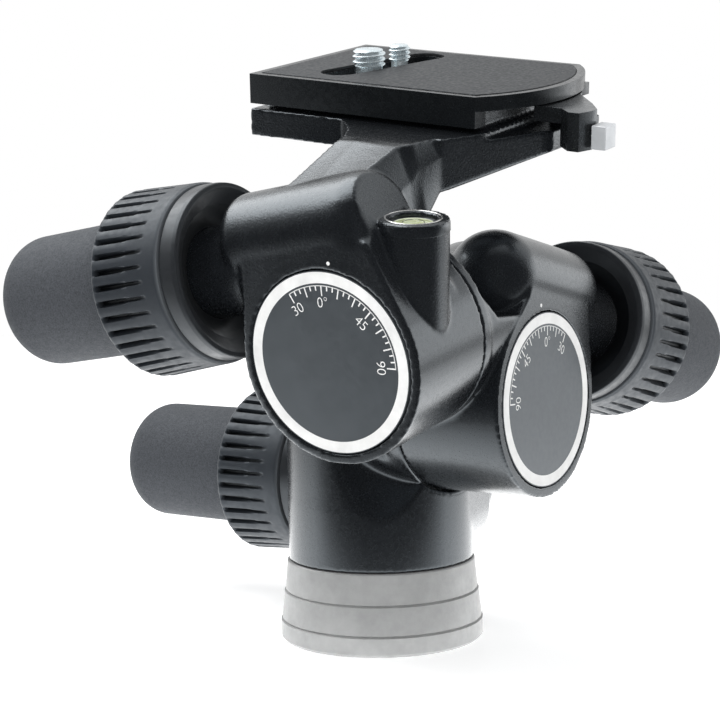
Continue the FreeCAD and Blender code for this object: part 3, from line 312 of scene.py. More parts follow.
def piece_from(name, verts, faces, place, body, paint, crease=35.0):
    """A mesh piece, drawn in millimetres in a frame, that rides on a CAD body."""
    mesh = bpy.data.meshes.new(name)
    mesh.from_pydata([tuple(v) for v in verts], [], faces)
    mesh.transform(Matrix.Scale(MM, 4) @ place)
    work = bmesh.new()
    work.from_mesh(mesh)
    bmesh.ops.recalc_face_normals(work, faces=work.faces)
    work.to_mesh(mesh)
    work.free()
    mesh.shade_smooth()
    mesh.set_sharp_from_angle(angle=math.radians(crease))
    piece = bpy.data.objects.new(name, mesh)
    bpy.context.scene.collection.objects.link(piece)
    painted(piece, paint)
    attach(piece, body)
    return piece


def softened(points, closed=True):
    """Round each corner (radius, height, round) of a half section with an arc of that radius."""
    # an arc takes up less than half of the lines beside it, and a wide one has more steps
    most = 0.48
    wide, wide_steps, small_steps = 3, 14, 5
    result = []
    count = len(points)
    for index, (r, s, size) in enumerate(points):
        here = Vector((r, s))
        if size <= 0 or (not closed and index in (0, count - 1)):
            result.append((r, s))
            continue
        before = Vector(points[index - 1][:2]) - here
        after = Vector(points[(index + 1) % count][:2]) - here
        half = before.angle(after) / 2
        reach = min(size / math.tan(half), before.length * most, after.length * most)
        middle = here + (before.normalized() + after.normalized()).normalized() * (reach / math.cos(half))
        start = here + before.normalized() * reach - middle
        end = here + after.normalized() * reach - middle
        steps = wide_steps if size > wide else small_steps
        for step in range(steps + 1):
            t = step / steps
            spoke = (start * (1 - t) + end * t).normalized() * start.length
            result.append(tuple(middle + spoke))
    return result


def point_on_axis(verts, s):
    """Add one vertex on the axis, as a loop of one."""
    verts.append((0, 0, s))
    return [len(verts) - 1]


def loop(verts, radii, s):
    """Add a loop of vertices round the axis at this height, with a radius for each."""
    first = len(verts)
    for k, r in enumerate(radii):
        angle = 2 * math.pi * k / len(radii)
        verts.append((r * math.cos(angle), r * math.sin(angle), s))
    return list(range(first, len(verts)))


def bridge(faces, first, second):
    """Add the faces between two loops, of which one may be a point on the axis."""
    count = max(len(first), len(second))
    if count == 1:
        return
    for k in range(count):
        following = (k + 1) % count
        if len(first) == 1:
            faces.append((first[0], second[following], second[k]))
        elif len(second) == 1:
            faces.append((first[k], first[following], second[0]))
        else:
            faces.append((first[k], first[following], second[following], second[k]))


def lathe(name, section, place, body, paint, segments=160, closed=True):
    """A turned piece from a half section of (radius, height, corner round)."""
    verts = []
    faces = []
    rows = []
    for r, s in softened(section, closed):
        rows.append(loop(verts, [r] * segments, s) if r > 0 else point_on_axis(verts, s))
    if closed:
        rows.append(rows[0])
    for first, second in zip(rows, rows[1:]):
        bridge(faces, first, second)
    return piece_from(name, verts, faces, place, body, paint)


# ---------------------------------------------------------------- castings

# each pair fades a mask over a length: it is 0 at the first value and 1 at the second
BARREL_SKIN = (28.4, 27.5)
DIAL_RIM = (29.5, 27.9)
DIAL_FACE = (3.0, 1.0)
SEAM_EDGE = (2.0, 0.8)
# where the machined ends of the barrels meet the castings beside them
ROLL_SEAM = -29.3
TILT_SEAMS = (23.5, -29.0)
PAN_RIMS = (23.2, 23.9)
# the machined deck under the plate, and the top of the level's post
DECK = (140.5, 142.5)
POST_SIDE = (9.9, 9.4)
POST_TOP = (LEVEL[2] - 3.0, LEVEL[2] - 1.5)
# the height at which the upper tilt body's barrel goes over into its arm
ARM_ROOT = (130.0, 126.0)
# the front of the column, where the roll barrel dips into it
DIP_FRONT = (6.0, 12.0)
DIP_TOP, DIP_LOW = (72.0, 67.0), (40.0, 45.0)
DIP_SIDE = (21.5, 19.0)
# where the end of the roll body's worm tube runs into the arm
TUBE_END = (40.5, -69.5, 125.5)
TUBE_END_REACH = (10.5, 6.5)
# how much a seam is held, and how much of its grain a machined barrel loses
SEAM_HOLD = 0.9
MACHINED, PAN_MACHINED = 0.85, 0.8
# each round of smoothing is followed by one that takes the shrinking back
SHRINK, REGROW = 0.55, -0.56


def smooth_step(value, start, end):
    """0 at start and 1 at end, with a smooth passage between them."""
    t = np.clip((value - start) / (end - start), 0, 1)
    return t * t * (3 - 2 * t)


def local(points, place):
    """Points in metres in the row frame, as millimetres in a frame."""
    back = np.array((Matrix.Scale(MM, 4) @ place).inverted())
    return points @ back[:3, :3].T + back[:3, 3]


def relaxed(points, edges, free, rounds):
    """Points moved towards their neighbours' middle, by as much as each is free to."""
    count = np.bincount(edges.ravel(), minlength=len(points)).astype(float)[:, None]
    for step in range(rounds):
        push = SHRINK if step % 2 == 0 else REGROW
        total = np.empty_like(points)
        for axis in range(3):
            total[:, axis] = (np.bincount(edges[:, 0], points[edges[:, 1], axis], len(points))
                              + np.bincount(edges[:, 1], points[edges[:, 0], axis], len(points)))
        points = points + (total / count - points) * (push * free)[:, None]
    return points


def casting(node, body, voxel, rounds, crisp, grain, soft=None):
    """A softened copy of a casting: blends in its corners, but machined faces stay crisp.

    crisp, grain and soft take points in metres and give 0 to 1 for each."""
    held, last_rounds, last_least = 0.85, 6, 0.12
    piece = bpy.data.objects.new(node + "_cast", NODES[node].data.copy())
    bpy.context.scene.collection.objects.link(piece)
    remesh = piece.modifiers.new("remesh", "REMESH")
    remesh.mode = "VOXEL"
    remesh.voxel_size = voxel * MM
    remesh.use_smooth_shade = True
    bpy.context.view_layer.update()
    graph = bpy.context.evaluated_depsgraph_get()
    mesh = bpy.data.meshes.new_from_object(piece.evaluated_get(graph))
    piece.modifiers.clear()
    piece.data = mesh
    points = np.empty(len(mesh.vertices) * 3)
    mesh.vertices.foreach_get("co", points)
    points = points.reshape(-1, 3)
    edges = np.empty(len(mesh.edges) * 2, int)
    mesh.edges.foreach_get("vertices", edges)
    edges = edges.reshape(-1, 2)
    hold = crisp(points)
    points = relaxed(points, edges, 1 - held * hold, rounds)
    for step in range(last_rounds):
        points = relaxed(points, edges, 0.5 * (1 - hold) + last_least, 1)
    if soft:
        free = soft(points)
        for step in range(rounds):
            points = relaxed(points, edges, free, 1)
    mesh.vertices.foreach_set("co", points.ravel())
    layer = mesh.attributes.new("grain", "FLOAT", "POINT")
    layer.data.foreach_set("value", grain(points).astype(np.float32))
    mesh.update()
    mesh.shade_smooth()
    painted(piece, BLACK)
    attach(piece, body)
    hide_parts(node)
    return piece


def on_barrel(points, place):
    """1 on the machined barrel round a dial's axis, 0 on the castings beyond it."""
    at = local(points, place)
    return smooth_step(np.hypot(at[:, 0], at[:, 1]), *BARREL_SKIN)


def near_dial(points, place):
    """1 close to a dial's rim and the face round it."""
    at = local(points, place)
    return smooth_step(np.abs(at[:, 2]), *DIAL_FACE) * smooth_step(np.hypot(at[:, 0], at[:, 1]), *DIAL_RIM)


def seam(along, place):
    """1 on a machined edge at this place along an axis."""
    return smooth_step(np.abs(along - place), *SEAM_EDGE)


def roll_crisp(points):
    """1 on the dial's rim, the barrel's seam, the deck and the top of the level's post."""
    at = local(points, ROLL)
    barrel_end = seam(at[:, 1], ROLL_SEAM) * on_barrel(points, ROLL_DIAL)
    deck = smooth_step(at[:, 2], *DECK)
    post = (smooth_step(np.hypot(at[:, 0] - LEVEL[0], at[:, 1] - LEVEL[1]), *POST_SIDE)
            * smooth_step(at[:, 2], *POST_TOP))
    return np.clip(near_dial(points, ROLL_DIAL) + barrel_end + deck + post, 0, 1)


def tilt_crisp(points):
    """1 on the dial's rim and the two seams of the lower tilt body."""
    at = local(points, TILT)
    seams = seam(at[:, 0], TILT_SEAMS[0]) + seam(at[:, 1], TILT_SEAMS[1])
    return np.clip(near_dial(points, TILT_DIAL) + seams * SEAM_HOLD, 0, 1)


def pan_crisp(points):
    """1 on the rims of the pan body, beside the tilt barrel and above the foot."""
    at = local(points, PAN)
    return np.clip(seam(at[:, 0], PAN_RIMS[0]) + seam(at[:, 2], PAN_RIMS[1]), 0, 1)


def roll_soft(points):
    """1 where the end of the worm tube runs into the arm, beside the level's post."""
    away = np.linalg.norm(local(points, PAN) - TUBE_END, axis=1)
    return smooth_step(away, *TUBE_END_REACH) * (1 - roll_crisp(points))


def pan_soft(points):
    """1 on the front of the column, where the roll barrel dips into it."""
    at = local(points, PAN)
    return (smooth_step(-at[:, 1], *DIP_FRONT) * smooth_step(at[:, 2], *DIP_TOP)
            * smooth_step(at[:, 2], *DIP_LOW) * smooth_step(at[:, 0], *DIP_SIDE))


def roll_grain(points):
    """Coarse grain on the upper tilt body, but for its machined barrel below the arm."""
    below_arm = smooth_step(local(points, ROLL)[:, 2], *ARM_ROOT)
    return 1 - MACHINED * on_barrel(points, ROLL_DIAL) * below_arm


def tilt_grain(points):
    """Coarse grain on the lower tilt body, but for its two machined barrels."""
    return 1 - MACHINED * np.maximum(on_barrel(points, TILT_DIAL), on_barrel(points, ROLL_DIAL))


def pan_grain(points):
    """Coarse grain on the pan body, but for its column and the barrel of its head."""
    at = local(points, PAN)
    column = smooth_step(np.hypot(at[:, 0], at[:, 1]), *BARREL_SKIN)
    return 1 - PAN_MACHINED * np.maximum(column, on_barrel(points, TILT_DIAL))


VOXEL = 0.5
ROUNDS = 36
casting("roll_housing", "roll_body", VOXEL, ROUNDS, roll_crisp, roll_grain, roll_soft)
casting("tilt_housing", "tilt_body", VOXEL, ROUNDS, tilt_crisp, tilt_grain)
casting("pan_housing", "pan_body", VOXEL, ROUNDS, pan_crisp, pan_grain, pan_soft)

# ---------------------------------------------------------------- knobs and collars

# places along a drive's axis
MOUTH_START = 33.6
COLLAR_START, COLLAR_LENGTH = 39.7, 22.6
COLLAR_END = COLLAR_START + COLLAR_LENGTH
CAP_START, CAP_END = COLLAR_END - 3.0, COLLAR_END + 48.1
CAP_INSIDE = CAP_END - 12.0
CAP_RADIUS, CAP_BORE, CAP_ROUND = 18.8, 16.3, 11.0
SLEEVE_RADIUS, SLEEVE_BORE, SHAFT_HOLE = 22.6, 20.2, 12.6
SLEEVE_END, SLEEVE_FLOOR = COLLAR_END - 0.3, COLLAR_START + 5.0
# the rubber ring's skin between its ribs, at the mouth's side and at the knob's
GRIP_START_RADIUS, GRIP_END_RADIUS, GRIP_BORE = 24.9, 26.2, 22.0
GRIP_ROUND, GRIP_ROUND_LENGTH = 0.45, 0.8
RIBS, RIB_CROWN = 38, 0.12
# the grooves start this far up the collar, deepen over this length and stop at a thin rim
GROOVE_START, GROOVE_RUN, GROOVE_RIM, GROOVE_END = 5.2, 13.0, 0.9, 0.5
GROOVE_DEPTH = 2.1
# half of a groove's share of a rib at its start, and what it gains towards the knob
GROOVE_SHARE, GROOVE_GAIN = 0.11, 0.085
# painted light on the rubber: painted shade down to nothing in a groove, and on the outer edges a painted
# highlight as much as skin and rim together
PAINTED_BORE_LIGHT, PAINTED_SKIN_LIGHT, PAINTED_RIM_HIGHLIGHT, PAINTED_HIGHLIGHT_LENGTH = 0.3, 0.5, 0.4, 0.7


def grip(name, place, body):
    """The rubber ring: wide ribs, and grooves that get deeper towards the knob and stop at a thin rim."""
    across, along = 14, 46
    around = RIBS * across
    verts = []
    faces = []
    rows = []
    painted_grip_light = []
    for j in range(along + 1):
        t = j / along
        s = COLLAR_START + COLLAR_LENGTH * t
        edge = min(t, 1 - t) * COLLAR_LENGTH
        skin = (GRIP_START_RADIUS + (GRIP_END_RADIUS - GRIP_START_RADIUS) * t
                - GRIP_ROUND * max(0.0, 1 - edge / GRIP_ROUND_LENGTH) ** 2)
        run = min(1.0, max(0.0, (s - COLLAR_START - GROOVE_START) / GROOVE_RUN))
        stop = min(1.0, max(0.0, (COLLAR_END - GROOVE_RIM - s) / GROOVE_END))
        depth = GROOVE_DEPTH * run ** 0.5 * stop
        width = GROOVE_SHARE + GROOVE_GAIN * run
        radii = []
        for k in range(around):
            phase = (k % across) / across
            away = abs(phase - 0.5)
            groove = max(0.0, 1 - (away / width) ** 4) if away < width else 0.0
            crown = RIB_CROWN * math.cos(2 * math.pi * phase) * run
            radii.append(skin - depth * groove + crown * (1 - groove))
            # painted shade in a deep groove, and a painted highlight on the outer edges
            painted_grip_light.append(PAINTED_SKIN_LIGHT - PAINTED_SKIN_LIGHT * groove * min(1.0, depth)
                          + PAINTED_RIM_HIGHLIGHT * max(0.0, 1 - edge / PAINTED_HIGHLIGHT_LENGTH))
        rows.append(loop(verts, radii, s))
    for s in (COLLAR_END, COLLAR_START):
        rows.append(loop(verts, [GRIP_BORE] * around, s))
        painted_grip_light.extend([PAINTED_BORE_LIGHT] * around)
    rows.append(rows[0])
    for first, second in zip(rows, rows[1:]):
        bridge(faces, first, second)
    piece = piece_from(name, verts, faces, place, body, RUBBER, 50)
    piece.data.attributes.new("painted_grip_light", "FLOAT", "POINT").data.foreach_set("value", painted_grip_light)
    return piece


def drive(prefix, place):
    """Knob cap, grip and sleeve of one drive."""
    knob = lathe(prefix + "_knob_dress", [
        (0, CAP_END, 0), (CAP_RADIUS, CAP_END, CAP_ROUND), (CAP_RADIUS, CAP_START, 0.4),
        (CAP_BORE, CAP_START, 0.4), (CAP_BORE, CAP_INSIDE, 1.0), (0, CAP_INSIDE, 0),
    ], place, prefix + "_knob", CAP, closed=False)
    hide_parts(prefix + "_knob_cap")
    ring = grip(prefix + "_grip_dress", place, prefix + "_collar")
    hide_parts(prefix + "_collar_grip")
    sleeve = lathe(prefix + "_sleeve_dress", [
        (SHAFT_HOLE, COLLAR_START + 0.3, 0.2), (21.9, 33.9, 0.5), (22.5, MOUTH_START, 0.3),
        (23.75, MOUTH_START, 0.5), (24.0, 35.0, 0.3), (24.1, 38.9, 0.35), (23.2, 39.3, 0.2),
        (SLEEVE_RADIUS, 39.5, 0.1), (SLEEVE_RADIUS, SLEEVE_END, 0.4), (SLEEVE_BORE, SLEEVE_END, 0.4),
        (SLEEVE_BORE, SLEEVE_FLOOR, 0.5), (SHAFT_HOLE, SLEEVE_FLOOR, 0.3),
    ], place, prefix + "_collar", SLEEVE)
    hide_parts(prefix + "_collar_sleeve")
    # a deep black cone just inside the sleeve's mouth: painted shade in the mouth
    lathe(prefix + "_mouth_shade", [
        (13.0, COLLAR_START - 0.2, 0), (21.75, 34.15, 0), (22.3, 34.15, 0), (13.2, COLLAR_START + 0.2, 0),
    ], place, prefix + "_collar", DEEP_SHADE_AND_PRINT)


drive("pan", PAN_DRIVE)
drive("tilt", TILT_DRIVE)
drive("roll", ROLL_DRIVE)

# ---------------------------------------------------------------- dials

# radii of the print on a dial, which lies this far above its face
RING = (21.1, 24.05)
SCALE_LINE, SCALE_RADIUS = (20.35, 20.55), 20.5
NUMBER_RADIUS, NUMBER_SIZE = 15.9, 3.9
DOT_RADIUS = 26.5
LIFT = 0.03
LONG_TICK, SHORT_TICK = 2.7, 1.35
# readings, half of a tick's width and how far the line runs past the last ticks, all in degrees
SCALE_START, SCALE_END, TICK_STEP, LONG_STEP = -30, 90, 5, 15
TICK_HALF, LINE_PAST = 0.55, 0.3
NUMBERS = (("30", -30), ("0°", 0), ("45", 45), ("90", 90))
# takes a little off the letters' strokes, as a share of their size
THIN = -0.012


def text_mesh(text, size):
    """The flat outline of a text, centred, as vertices and faces."""
    curve = bpy.data.curves.new("text", "FONT")
    curve.body = text
    curve.size = size
    curve.align_x = "CENTER"
    curve.align_y = "CENTER"
    curve.resolution_u = 6
    curve.offset = THIN * size
    holder = bpy.data.objects.new("text", curve)
    bpy.context.scene.collection.objects.link(holder)
    bpy.context.view_layer.update()
    mesh = bpy.data.meshes.new_from_object(holder.evaluated_get(bpy.context.evaluated_depsgraph_get()))
    verts = [tuple(vertex.co) for vertex in mesh.vertices]
    faces = [tuple(face.vertices) for face in mesh.polygons]
    bpy.data.objects.remove(holder)
    return verts, faces


def dial_marks(name, place, body, zero, side):
    """White ring, scale and numbers on a dial.

    zero is what the scale is turned by. side is +1 where positive angles run clockwise."""
    verts = []
    faces = []

    def bearing(reading):
        return math.radians(90 - side * (reading + zero))

    def point(radius, reading):
        angle = bearing(reading)
        return (radius * math.cos(angle), radius * math.sin(angle), LIFT)

    def band(inner, outer, start, end, steps):
        first = len(verts)
        for k in range(steps + 1):
            reading = start + (end - start) * k / steps
            verts.append(point(inner, reading))
            verts.append(point(outer, reading))
        for k in range(steps):
            a = first + 2 * k
            faces.append((a, a + 1, a + 3, a + 2))

    band(*RING, -180, 180, 240)
    band(*SCALE_LINE, SCALE_START - LINE_PAST, SCALE_END + LINE_PAST, 90)
    for reading in range(SCALE_START, SCALE_END + 1, TICK_STEP):
        length = LONG_TICK if reading % LONG_STEP == 0 else SHORT_TICK
        band(SCALE_RADIUS - length, SCALE_RADIUS, reading - TICK_HALF, reading + TICK_HALF, 2)
    for label, reading in NUMBERS:
        text_verts, text_faces = text_mesh(label, NUMBER_SIZE)
        spin = Matrix.Rotation(bearing(reading) - math.pi / 2, 4, "Z")
        upright = Matrix.Translation(point(NUMBER_RADIUS, reading)) @ spin
        first = len(verts)
        verts.extend(tuple(upright @ Vector(v)) for v in text_verts)
        faces.extend(tuple(first + n for n in face) for face in text_faces)
    return piece_from(name, verts, faces, place, body, PRINT)


def index_dot(name, place, body, angle, side):
    """The white dot above a dial that its scale is read against."""
    turned = math.radians(90 - side * angle)
    spot = place @ shift(DOT_RADIUS * math.cos(turned), DOT_RADIUS * math.sin(turned), 0)
    return lathe(name, [(0, 0.06, 0), (0.5, 0.05, 0), (0.6, -0.2, 0), (0, -0.2, 0)], spot, body, PRINT,
                 24, closed=False)


dial_marks("tilt_dial_marks", TILT_DIAL, "pan_body", zero=-1.65, side=-1)
dial_marks("roll_dial_marks", ROLL_DIAL, "tilt_body", zero=2.1, side=1)
index_dot("tilt_index", TILT_DIAL, "tilt_body", angle=6.2, side=-1)
index_dot("roll_index", ROLL_DIAL, "roll_body", angle=8.5, side=1)

# ---------------------------------------------------------------- spirit level

# from the middle of the post's top to the bubble and to the printed circle
BUBBLE = (-1.0, 0.6, -0.98)
CIRCLE = (0, 0, -1.12)


def level():
    """The vial: a pale rim, and fluid under a domed glass with a bubble against its top."""
    spot = ROLL @ shift(*LEVEL)
    vial = lathe("level_vial_dress", [
        (0, -1.0, 0), (4.7, -1.35, 0.3), (5.2, -1.35, 0.2), (5.3, -2.0, 0), (6.0, -2.2, 0), (6.0, -7.3, 0.3),
        (0, -7.3, 0),
    ], spot, "roll_body", FLUID, 72, closed=False)
    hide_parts("level_vial")
    lathe("level_ring", [
        (4.7, -1.26, 0.15), (5.25, -1.26, 0.15), (5.25, -2.0, 0), (4.7, -2.0, 0),
    ], spot, "roll_body", VIAL_RING, 72)
    # a deep black seat round the vial: painted shade in the bore round it
    lathe("level_seat", [
        (5.3, -1.5, 0), (6.5, -1.0, 0), (6.5, -2.4, 0), (5.3, -2.4, 0),
    ], spot, "roll_body", DEEP_SHADE_AND_PRINT, 72)
    lathe("level_bubble", [(1.75, 0.0, 0.04), (1.95, 0.0, 0.04), (1.95, -0.2, 0), (1.75, -0.2, 0)],
          spot @ shift(*BUBBLE), "roll_body", VIAL_RING, 48)
    lathe("level_circle", [(2.75, 0.0, 0.02), (2.9, 0.0, 0.02), (2.9, -0.25, 0), (2.75, -0.25, 0)],
          spot @ shift(*CIRCLE), "roll_body", DEEP_SHADE_AND_PRINT, 48)
    # the lip is pale metal all round: a painted highlight of the rim's rounded edge
    lathe("level_lip", [
        (6.7, -0.1, 0.2), (7.0, 0.24, 0.2), (7.35, 0.24, 0.2), (7.6, -0.1, 0.1), (7.0, -0.6, 0),
    ], spot, "roll_body", LEVEL_LIP_HIGHLIGHT, 96)
    lathe("level_rim", [
        (6.5, -2.4, 0), (6.5, 0.12, 0.4), (9.32, 0.12, 1.3), (9.36, -3.0, 0.1), (8.7, -3.0, 0),
    ], spot, "roll_body", BLACK, 96)


level()

# ---------------------------------------------------------------- plate, lever and camera screws

PLATE_TOP, PLATE_SLAB = 161.3, 4.0
SLOT = ROLL @ shift(-7.7, 22.4, 0) @ turn(-11.0, "Z")
# a camera screw's head in the plate's underside
HEAD_RECESS, HEAD_HEIGHT, HEAD_EDGE = 0.9, 2.2, 0.3
# its thread: where it starts, how deep it is for its pitch, and root and flank as shares of half a turn
THREAD_START, THREAD_DEPTH = 0.3, 0.6
THREAD_ROOT, THREAD_FLANK = 0.12, 0.72
# its tip: how much smaller it is, and how fast the thread grows below it and above the neck
TIP_INSET, TIP_SLOPE, NECK_SLOPE = 0.9, 1.4, 1.5
# angles in degrees: below the first, faces are one flat; above the second, an edge is broken; above the
# third, it is shaded sharp
FLAT, BROKEN, SHARP = 1.5, 32, 14
SAME_POINT = 0.001


def bevelled(node, body, width, paint):
    """A copy of a node with its edges broken by a bevel of this width."""
    piece = bpy.data.objects.new(node + "_dress", NODES[node].data.copy())
    bpy.context.scene.collection.objects.link(piece)
    work = bmesh.new()
    work.from_mesh(piece.data)
    bmesh.ops.remove_doubles(work, verts=work.verts, dist=SAME_POINT * MM)
    bmesh.ops.dissolve_limit(work, angle_limit=math.radians(FLAT), verts=work.verts, edges=work.edges)
    edges = [edge for edge in work.edges if len(edge.link_faces) == 2
             and edge.calc_face_angle(0) > math.radians(BROKEN)]
    bmesh.ops.bevel(work, geom=edges, offset=width * MM, segments=3, profile=0.5, affect="EDGES",
                    clamp_overlap=True)
    bmesh.ops.triangulate(work, faces=[face for face in work.faces if len(face.verts) > 4])
    work.to_mesh(piece.data)
    work.free()
    piece.data.shade_smooth()
    piece.data.set_sharp_from_angle(angle=math.radians(SHARP))
    painted(piece, paint)
    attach(piece, body)
    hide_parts(node)
    return piece


def camera_screw(name, along, radius, neck, head, rise, pitch):
    """A camera screw with a real thread on the end that stands out of the plate.

    along is its place in the slot, rise is how far it stands out, and neck and head are radii."""
    head_top = PLATE_TOP - PLATE_SLAB + HEAD_RECESS
    head_low = head_top - HEAD_HEIGHT
    thread_low = PLATE_TOP + THREAD_START
    top = PLATE_TOP + rise
    around = 72

    def thread(k, s):
        """The thread's radius at this height, which runs in and out at its two ends."""
        wave = abs(((s / pitch - k / around) % 1.0) * 2 - 1)
        crest = min(1.0, max(0.0, (wave - THREAD_ROOT) / THREAD_FLANK))
        depth = THREAD_DEPTH * pitch
        cut = min(radius - depth + depth * crest, radius - TIP_INSET + (top - s) * TIP_SLOPE)
        return min(cut, neck + max(0.0, s - thread_low) * NECK_SLOPE)

    verts = []
    faces = []
    rows = [point_on_axis(verts, head_low)]
    for r, s in ((head - HEAD_EDGE, head_low), (head, head_low + HEAD_EDGE), (head, head_top - HEAD_EDGE),
                 (head - HEAD_EDGE, head_top), (neck, head_top), (neck, thread_low)):
        rows.append(loop(verts, [r] * around, s))
    steps = int((top - thread_low) / (pitch / 12))
    for step in range(steps):
        s = thread_low + (top - thread_low) * (step + 1) / steps
        rows.append(loop(verts, [thread(k, s) for k in range(around)], s))
    rows.append(point_on_axis(verts, top))
    for first, second in zip(rows, rows[1:]):
        bridge(faces, first, second)
    place = SLOT @ shift(0, along, 0)
    screw = piece_from(name + "_dress", verts, faces, place, name, ZINC, 60)
    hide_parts(name)
    return screw


bevelled("quick_plate", "plate", 0.5, PLATE)
bevelled("plate_pad", "plate", 0.2, PAD)
bevelled("lock_lever", "lock_lever", 0.6, LEVER)
bevelled("safety_catch", "safety_catch", 0.35, CATCH)
camera_screw("large_camera_screw", along=-6.2, radius=4.7625, neck=3.9, head=6.1, rise=5.2, pitch=1.5875)
camera_screw("small_camera_screw", along=6.6, radius=3.175, neck=2.5, head=5.4, rise=5.0, pitch=1.27)

# ---------------------------------------------------------------- materials of the nodes that stay


def node_paint(name):
    """The paint of a node that stays as the CAD has it."""
    if name == "foot":
        return FOOT
    if name in ("tilt_dial", "roll_dial"):
        return DIAL
    if "worm_wheel" in name or "bush" in name:
        return BRASS
    return STEEL


for name, node in NODES.items():
    if not node.hide_render:
        painted(node, node_paint(name))

# ---------------------------------------------------------------- floor, light and camera

# the camera as it was fitted to the photo: it looks from this far at a place beside the axis
AZIMUTH, PITCH, TWIST = 34.653, 5.2363, 1.0347
EYE_HEIGHT, EYE_ASIDE, EYE_DISTANCE = 82.1, -5.2345, 534.04
FOCAL_PIXELS, PICTURE_PIXELS, SENSOR = 1811.67, 720, 36
# the way to the white backdrop, and the part of a ray's way along it over which the dark room fades to white
BACKDROP = (-0.50, 0.72, 0.48)
BACKDROP_EDGE = (-0.05, 0.42)
ROOM = 0.03
# what rays that are neither mirrored nor the camera's see all round, and the table's glow for the camera
PLAIN = 0.55
FLOOR_GLOW = 0.45
# the glow that gloss sees on the table, a painted pool of light: near and far from the object, and how it
# fades to painted shade in front of it, by distances in metres
TABLE_GLOSS, TABLE_REACH = (2.8, 0.6), (0.15, 0.6)
TABLE_FRONT = (0.03, 0.13)
TABLE_NEAR, TABLE_FAR, TABLE_WIDTH = 0.6, 1.2, 3.0
TABLE_DROP = 0.0002
MIDDLE = (0, 0, 0.09)


class Sky(Paint):
    """The studio: a white backdrop behind the object, and a darker room on the camera's side of it.

    The camera sees white all round. Gloss and glass see the backdrop where it stands."""

    def __init__(self):
        world = bpy.data.worlds.new("studio")
        bpy.context.scene.world = world
        world.use_nodes = True
        self.tree = world.node_tree
        back = self.tree.nodes["Background"]
        back.inputs["Color"].default_value = (1, 1, 1, 1)
        toward = self.add("ShaderNodeVectorMath", operation="DOT_PRODUCT")
        self.link(self.add("ShaderNodeTexCoord").outputs["Generated"], toward.inputs[0])
        toward.inputs[1].default_value = BACKDROP
        backdrop = self.ramp(toward.outputs["Value"], ROOM, 1.0, *BACKDROP_EDGE)
        rays = self.add("ShaderNodeLightPath").outputs
        mirrored = self.math("MAXIMUM", rays["Is Glossy Ray"], rays["Is Transmission Ray"])
        shown = self.math("MULTIPLY", mirrored, backdrop)
        plain = self.ramp(mirrored, PLAIN, 0.0, 0.0, 1.0)
        light = self.math("MAXIMUM", self.math("MAXIMUM", shown, plain), rays["Is Camera Ray"])
        self.link(light, back.inputs["Strength"])


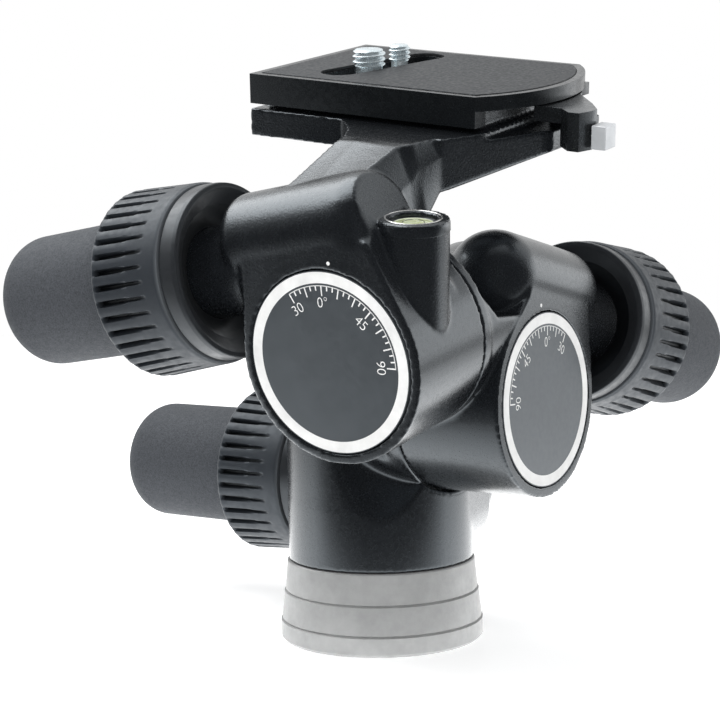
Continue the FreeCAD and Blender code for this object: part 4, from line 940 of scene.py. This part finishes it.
def stage():
    """A white table. Gloss sees a glow on it: a painted pool of light round the object, and painted shade in
    front of it.
    """
    bpy.ops.mesh.primitive_plane_add(size=1, location=(0, 0, 0))
    floor = bpy.context.object
    floor.name = "floor"
    turned = Matrix.Rotation(math.radians(AZIMUTH), 4, "Z")
    middle = (0, (TABLE_FAR - TABLE_NEAR) / 2, -TABLE_DROP)
    size = Matrix.Diagonal((TABLE_WIDTH, TABLE_FAR + TABLE_NEAR, 1, 1))
    floor.data.transform(turned @ Matrix.Translation(middle) @ size)
    paint = Paint("floor_white", (0.90, 0.90, 0.90), 0.5)
    paint.rough(paint.ramp(paint.noise(0.02), 0.48, 0.54))
    paint.shader.inputs["Emission Color"].default_value = (1, 1, 1, 1)
    rays = paint.add("ShaderNodeLightPath").outputs
    paint.link(paint.ramp(rays["Is Camera Ray"], 0.0, FLOOR_GLOW, 0.0, 1.0),
               paint.shader.inputs["Emission Strength"])
    reach = paint.add("ShaderNodeVectorMath", operation="LENGTH")
    paint.link(paint.place, reach.inputs[0])
    front = paint.add("ShaderNodeVectorMath", operation="DOT_PRODUCT")
    paint.link(paint.place, front.inputs[0])
    front.inputs[1].default_value = turned @ Vector((0, -1, 0))
    # a glow that only gloss sees: a painted pool of light round the object, painted shade in front of it
    shown = paint.add("ShaderNodeEmission")
    paint.link(paint.math("MULTIPLY", paint.ramp(reach.outputs["Value"], *TABLE_GLOSS, *TABLE_REACH),
                          paint.ramp(front.outputs["Value"], 1.0, ROOM, *TABLE_FRONT)),
               shown.inputs["Strength"])
    mix = paint.add("ShaderNodeMixShader")
    paint.link(paint.math("MAXIMUM", rays["Is Glossy Ray"], rays["Is Transmission Ray"]), mix.inputs[0])
    paint.link(paint.shader.outputs["BSDF"], mix.inputs[1])
    paint.link(shown.outputs["Emission"], mix.inputs[2])
    paint.link(mix.outputs["Shader"], paint.out.inputs["Surface"])
    painted(floor, paint.material)


def softbox(name, place, width, height, watts):
    """A rectangular lamp that looks at the object."""
    light = bpy.data.lights.new(name, "AREA")
    light.shape = "RECTANGLE"
    light.size = width
    light.size_y = height
    light.energy = watts
    lamp = bpy.data.objects.new(name, light)
    bpy.context.scene.collection.objects.link(lamp)
    lamp.location = place
    lamp.rotation_euler = (Vector(MIDDLE) - Vector(place)).to_track_quat("-Z", "Y").to_euler()
    return lamp


def camera():
    """The photo's camera."""
    az, pitch, twist = math.radians(AZIMUTH), math.radians(PITCH), math.radians(TWIST)
    forward = Vector((-math.sin(az) * math.cos(pitch), math.cos(az) * math.cos(pitch), -math.sin(pitch)))
    right = Vector((math.cos(az), math.sin(az), 0))
    down = forward.cross(right)
    side = right * math.cos(twist) + down * math.sin(twist)
    below = -right * math.sin(twist) + down * math.cos(twist)
    eye = (Vector((0, 0, EYE_HEIGHT)) + right * EYE_ASIDE - forward * EYE_DISTANCE) * MM
    lens = bpy.data.cameras.new("camera")
    lens.lens = FOCAL_PIXELS / PICTURE_PIXELS * SENSOR
    lens.sensor_width = SENSOR
    lens.clip_start = 0.01
    view = bpy.data.objects.new("camera", lens)
    bpy.context.scene.collection.objects.link(view)
    turned = Matrix((side, -below, -forward)).transposed().to_4x4()
    view.matrix_world = Matrix.Translation(eye) @ turned
    bpy.context.scene.camera = view


stage()
Sky()
softbox("top", (-0.46, -0.14, 0.86), 0.9, 0.8, 9)
# the side lamp stands on the far side and casts no shadow
softbox("side", (0.62, 0.95, 0.20), 0.8, 0.7, 2.4).data.use_shadow = False
# the fill is kept out of the gloss
softbox("fill", (0.75, -0.95, 0.35), 0.9, 0.9, 9).visible_glossy = False
camera()
bpy.context.scene.view_settings.view_transform = "Standard"
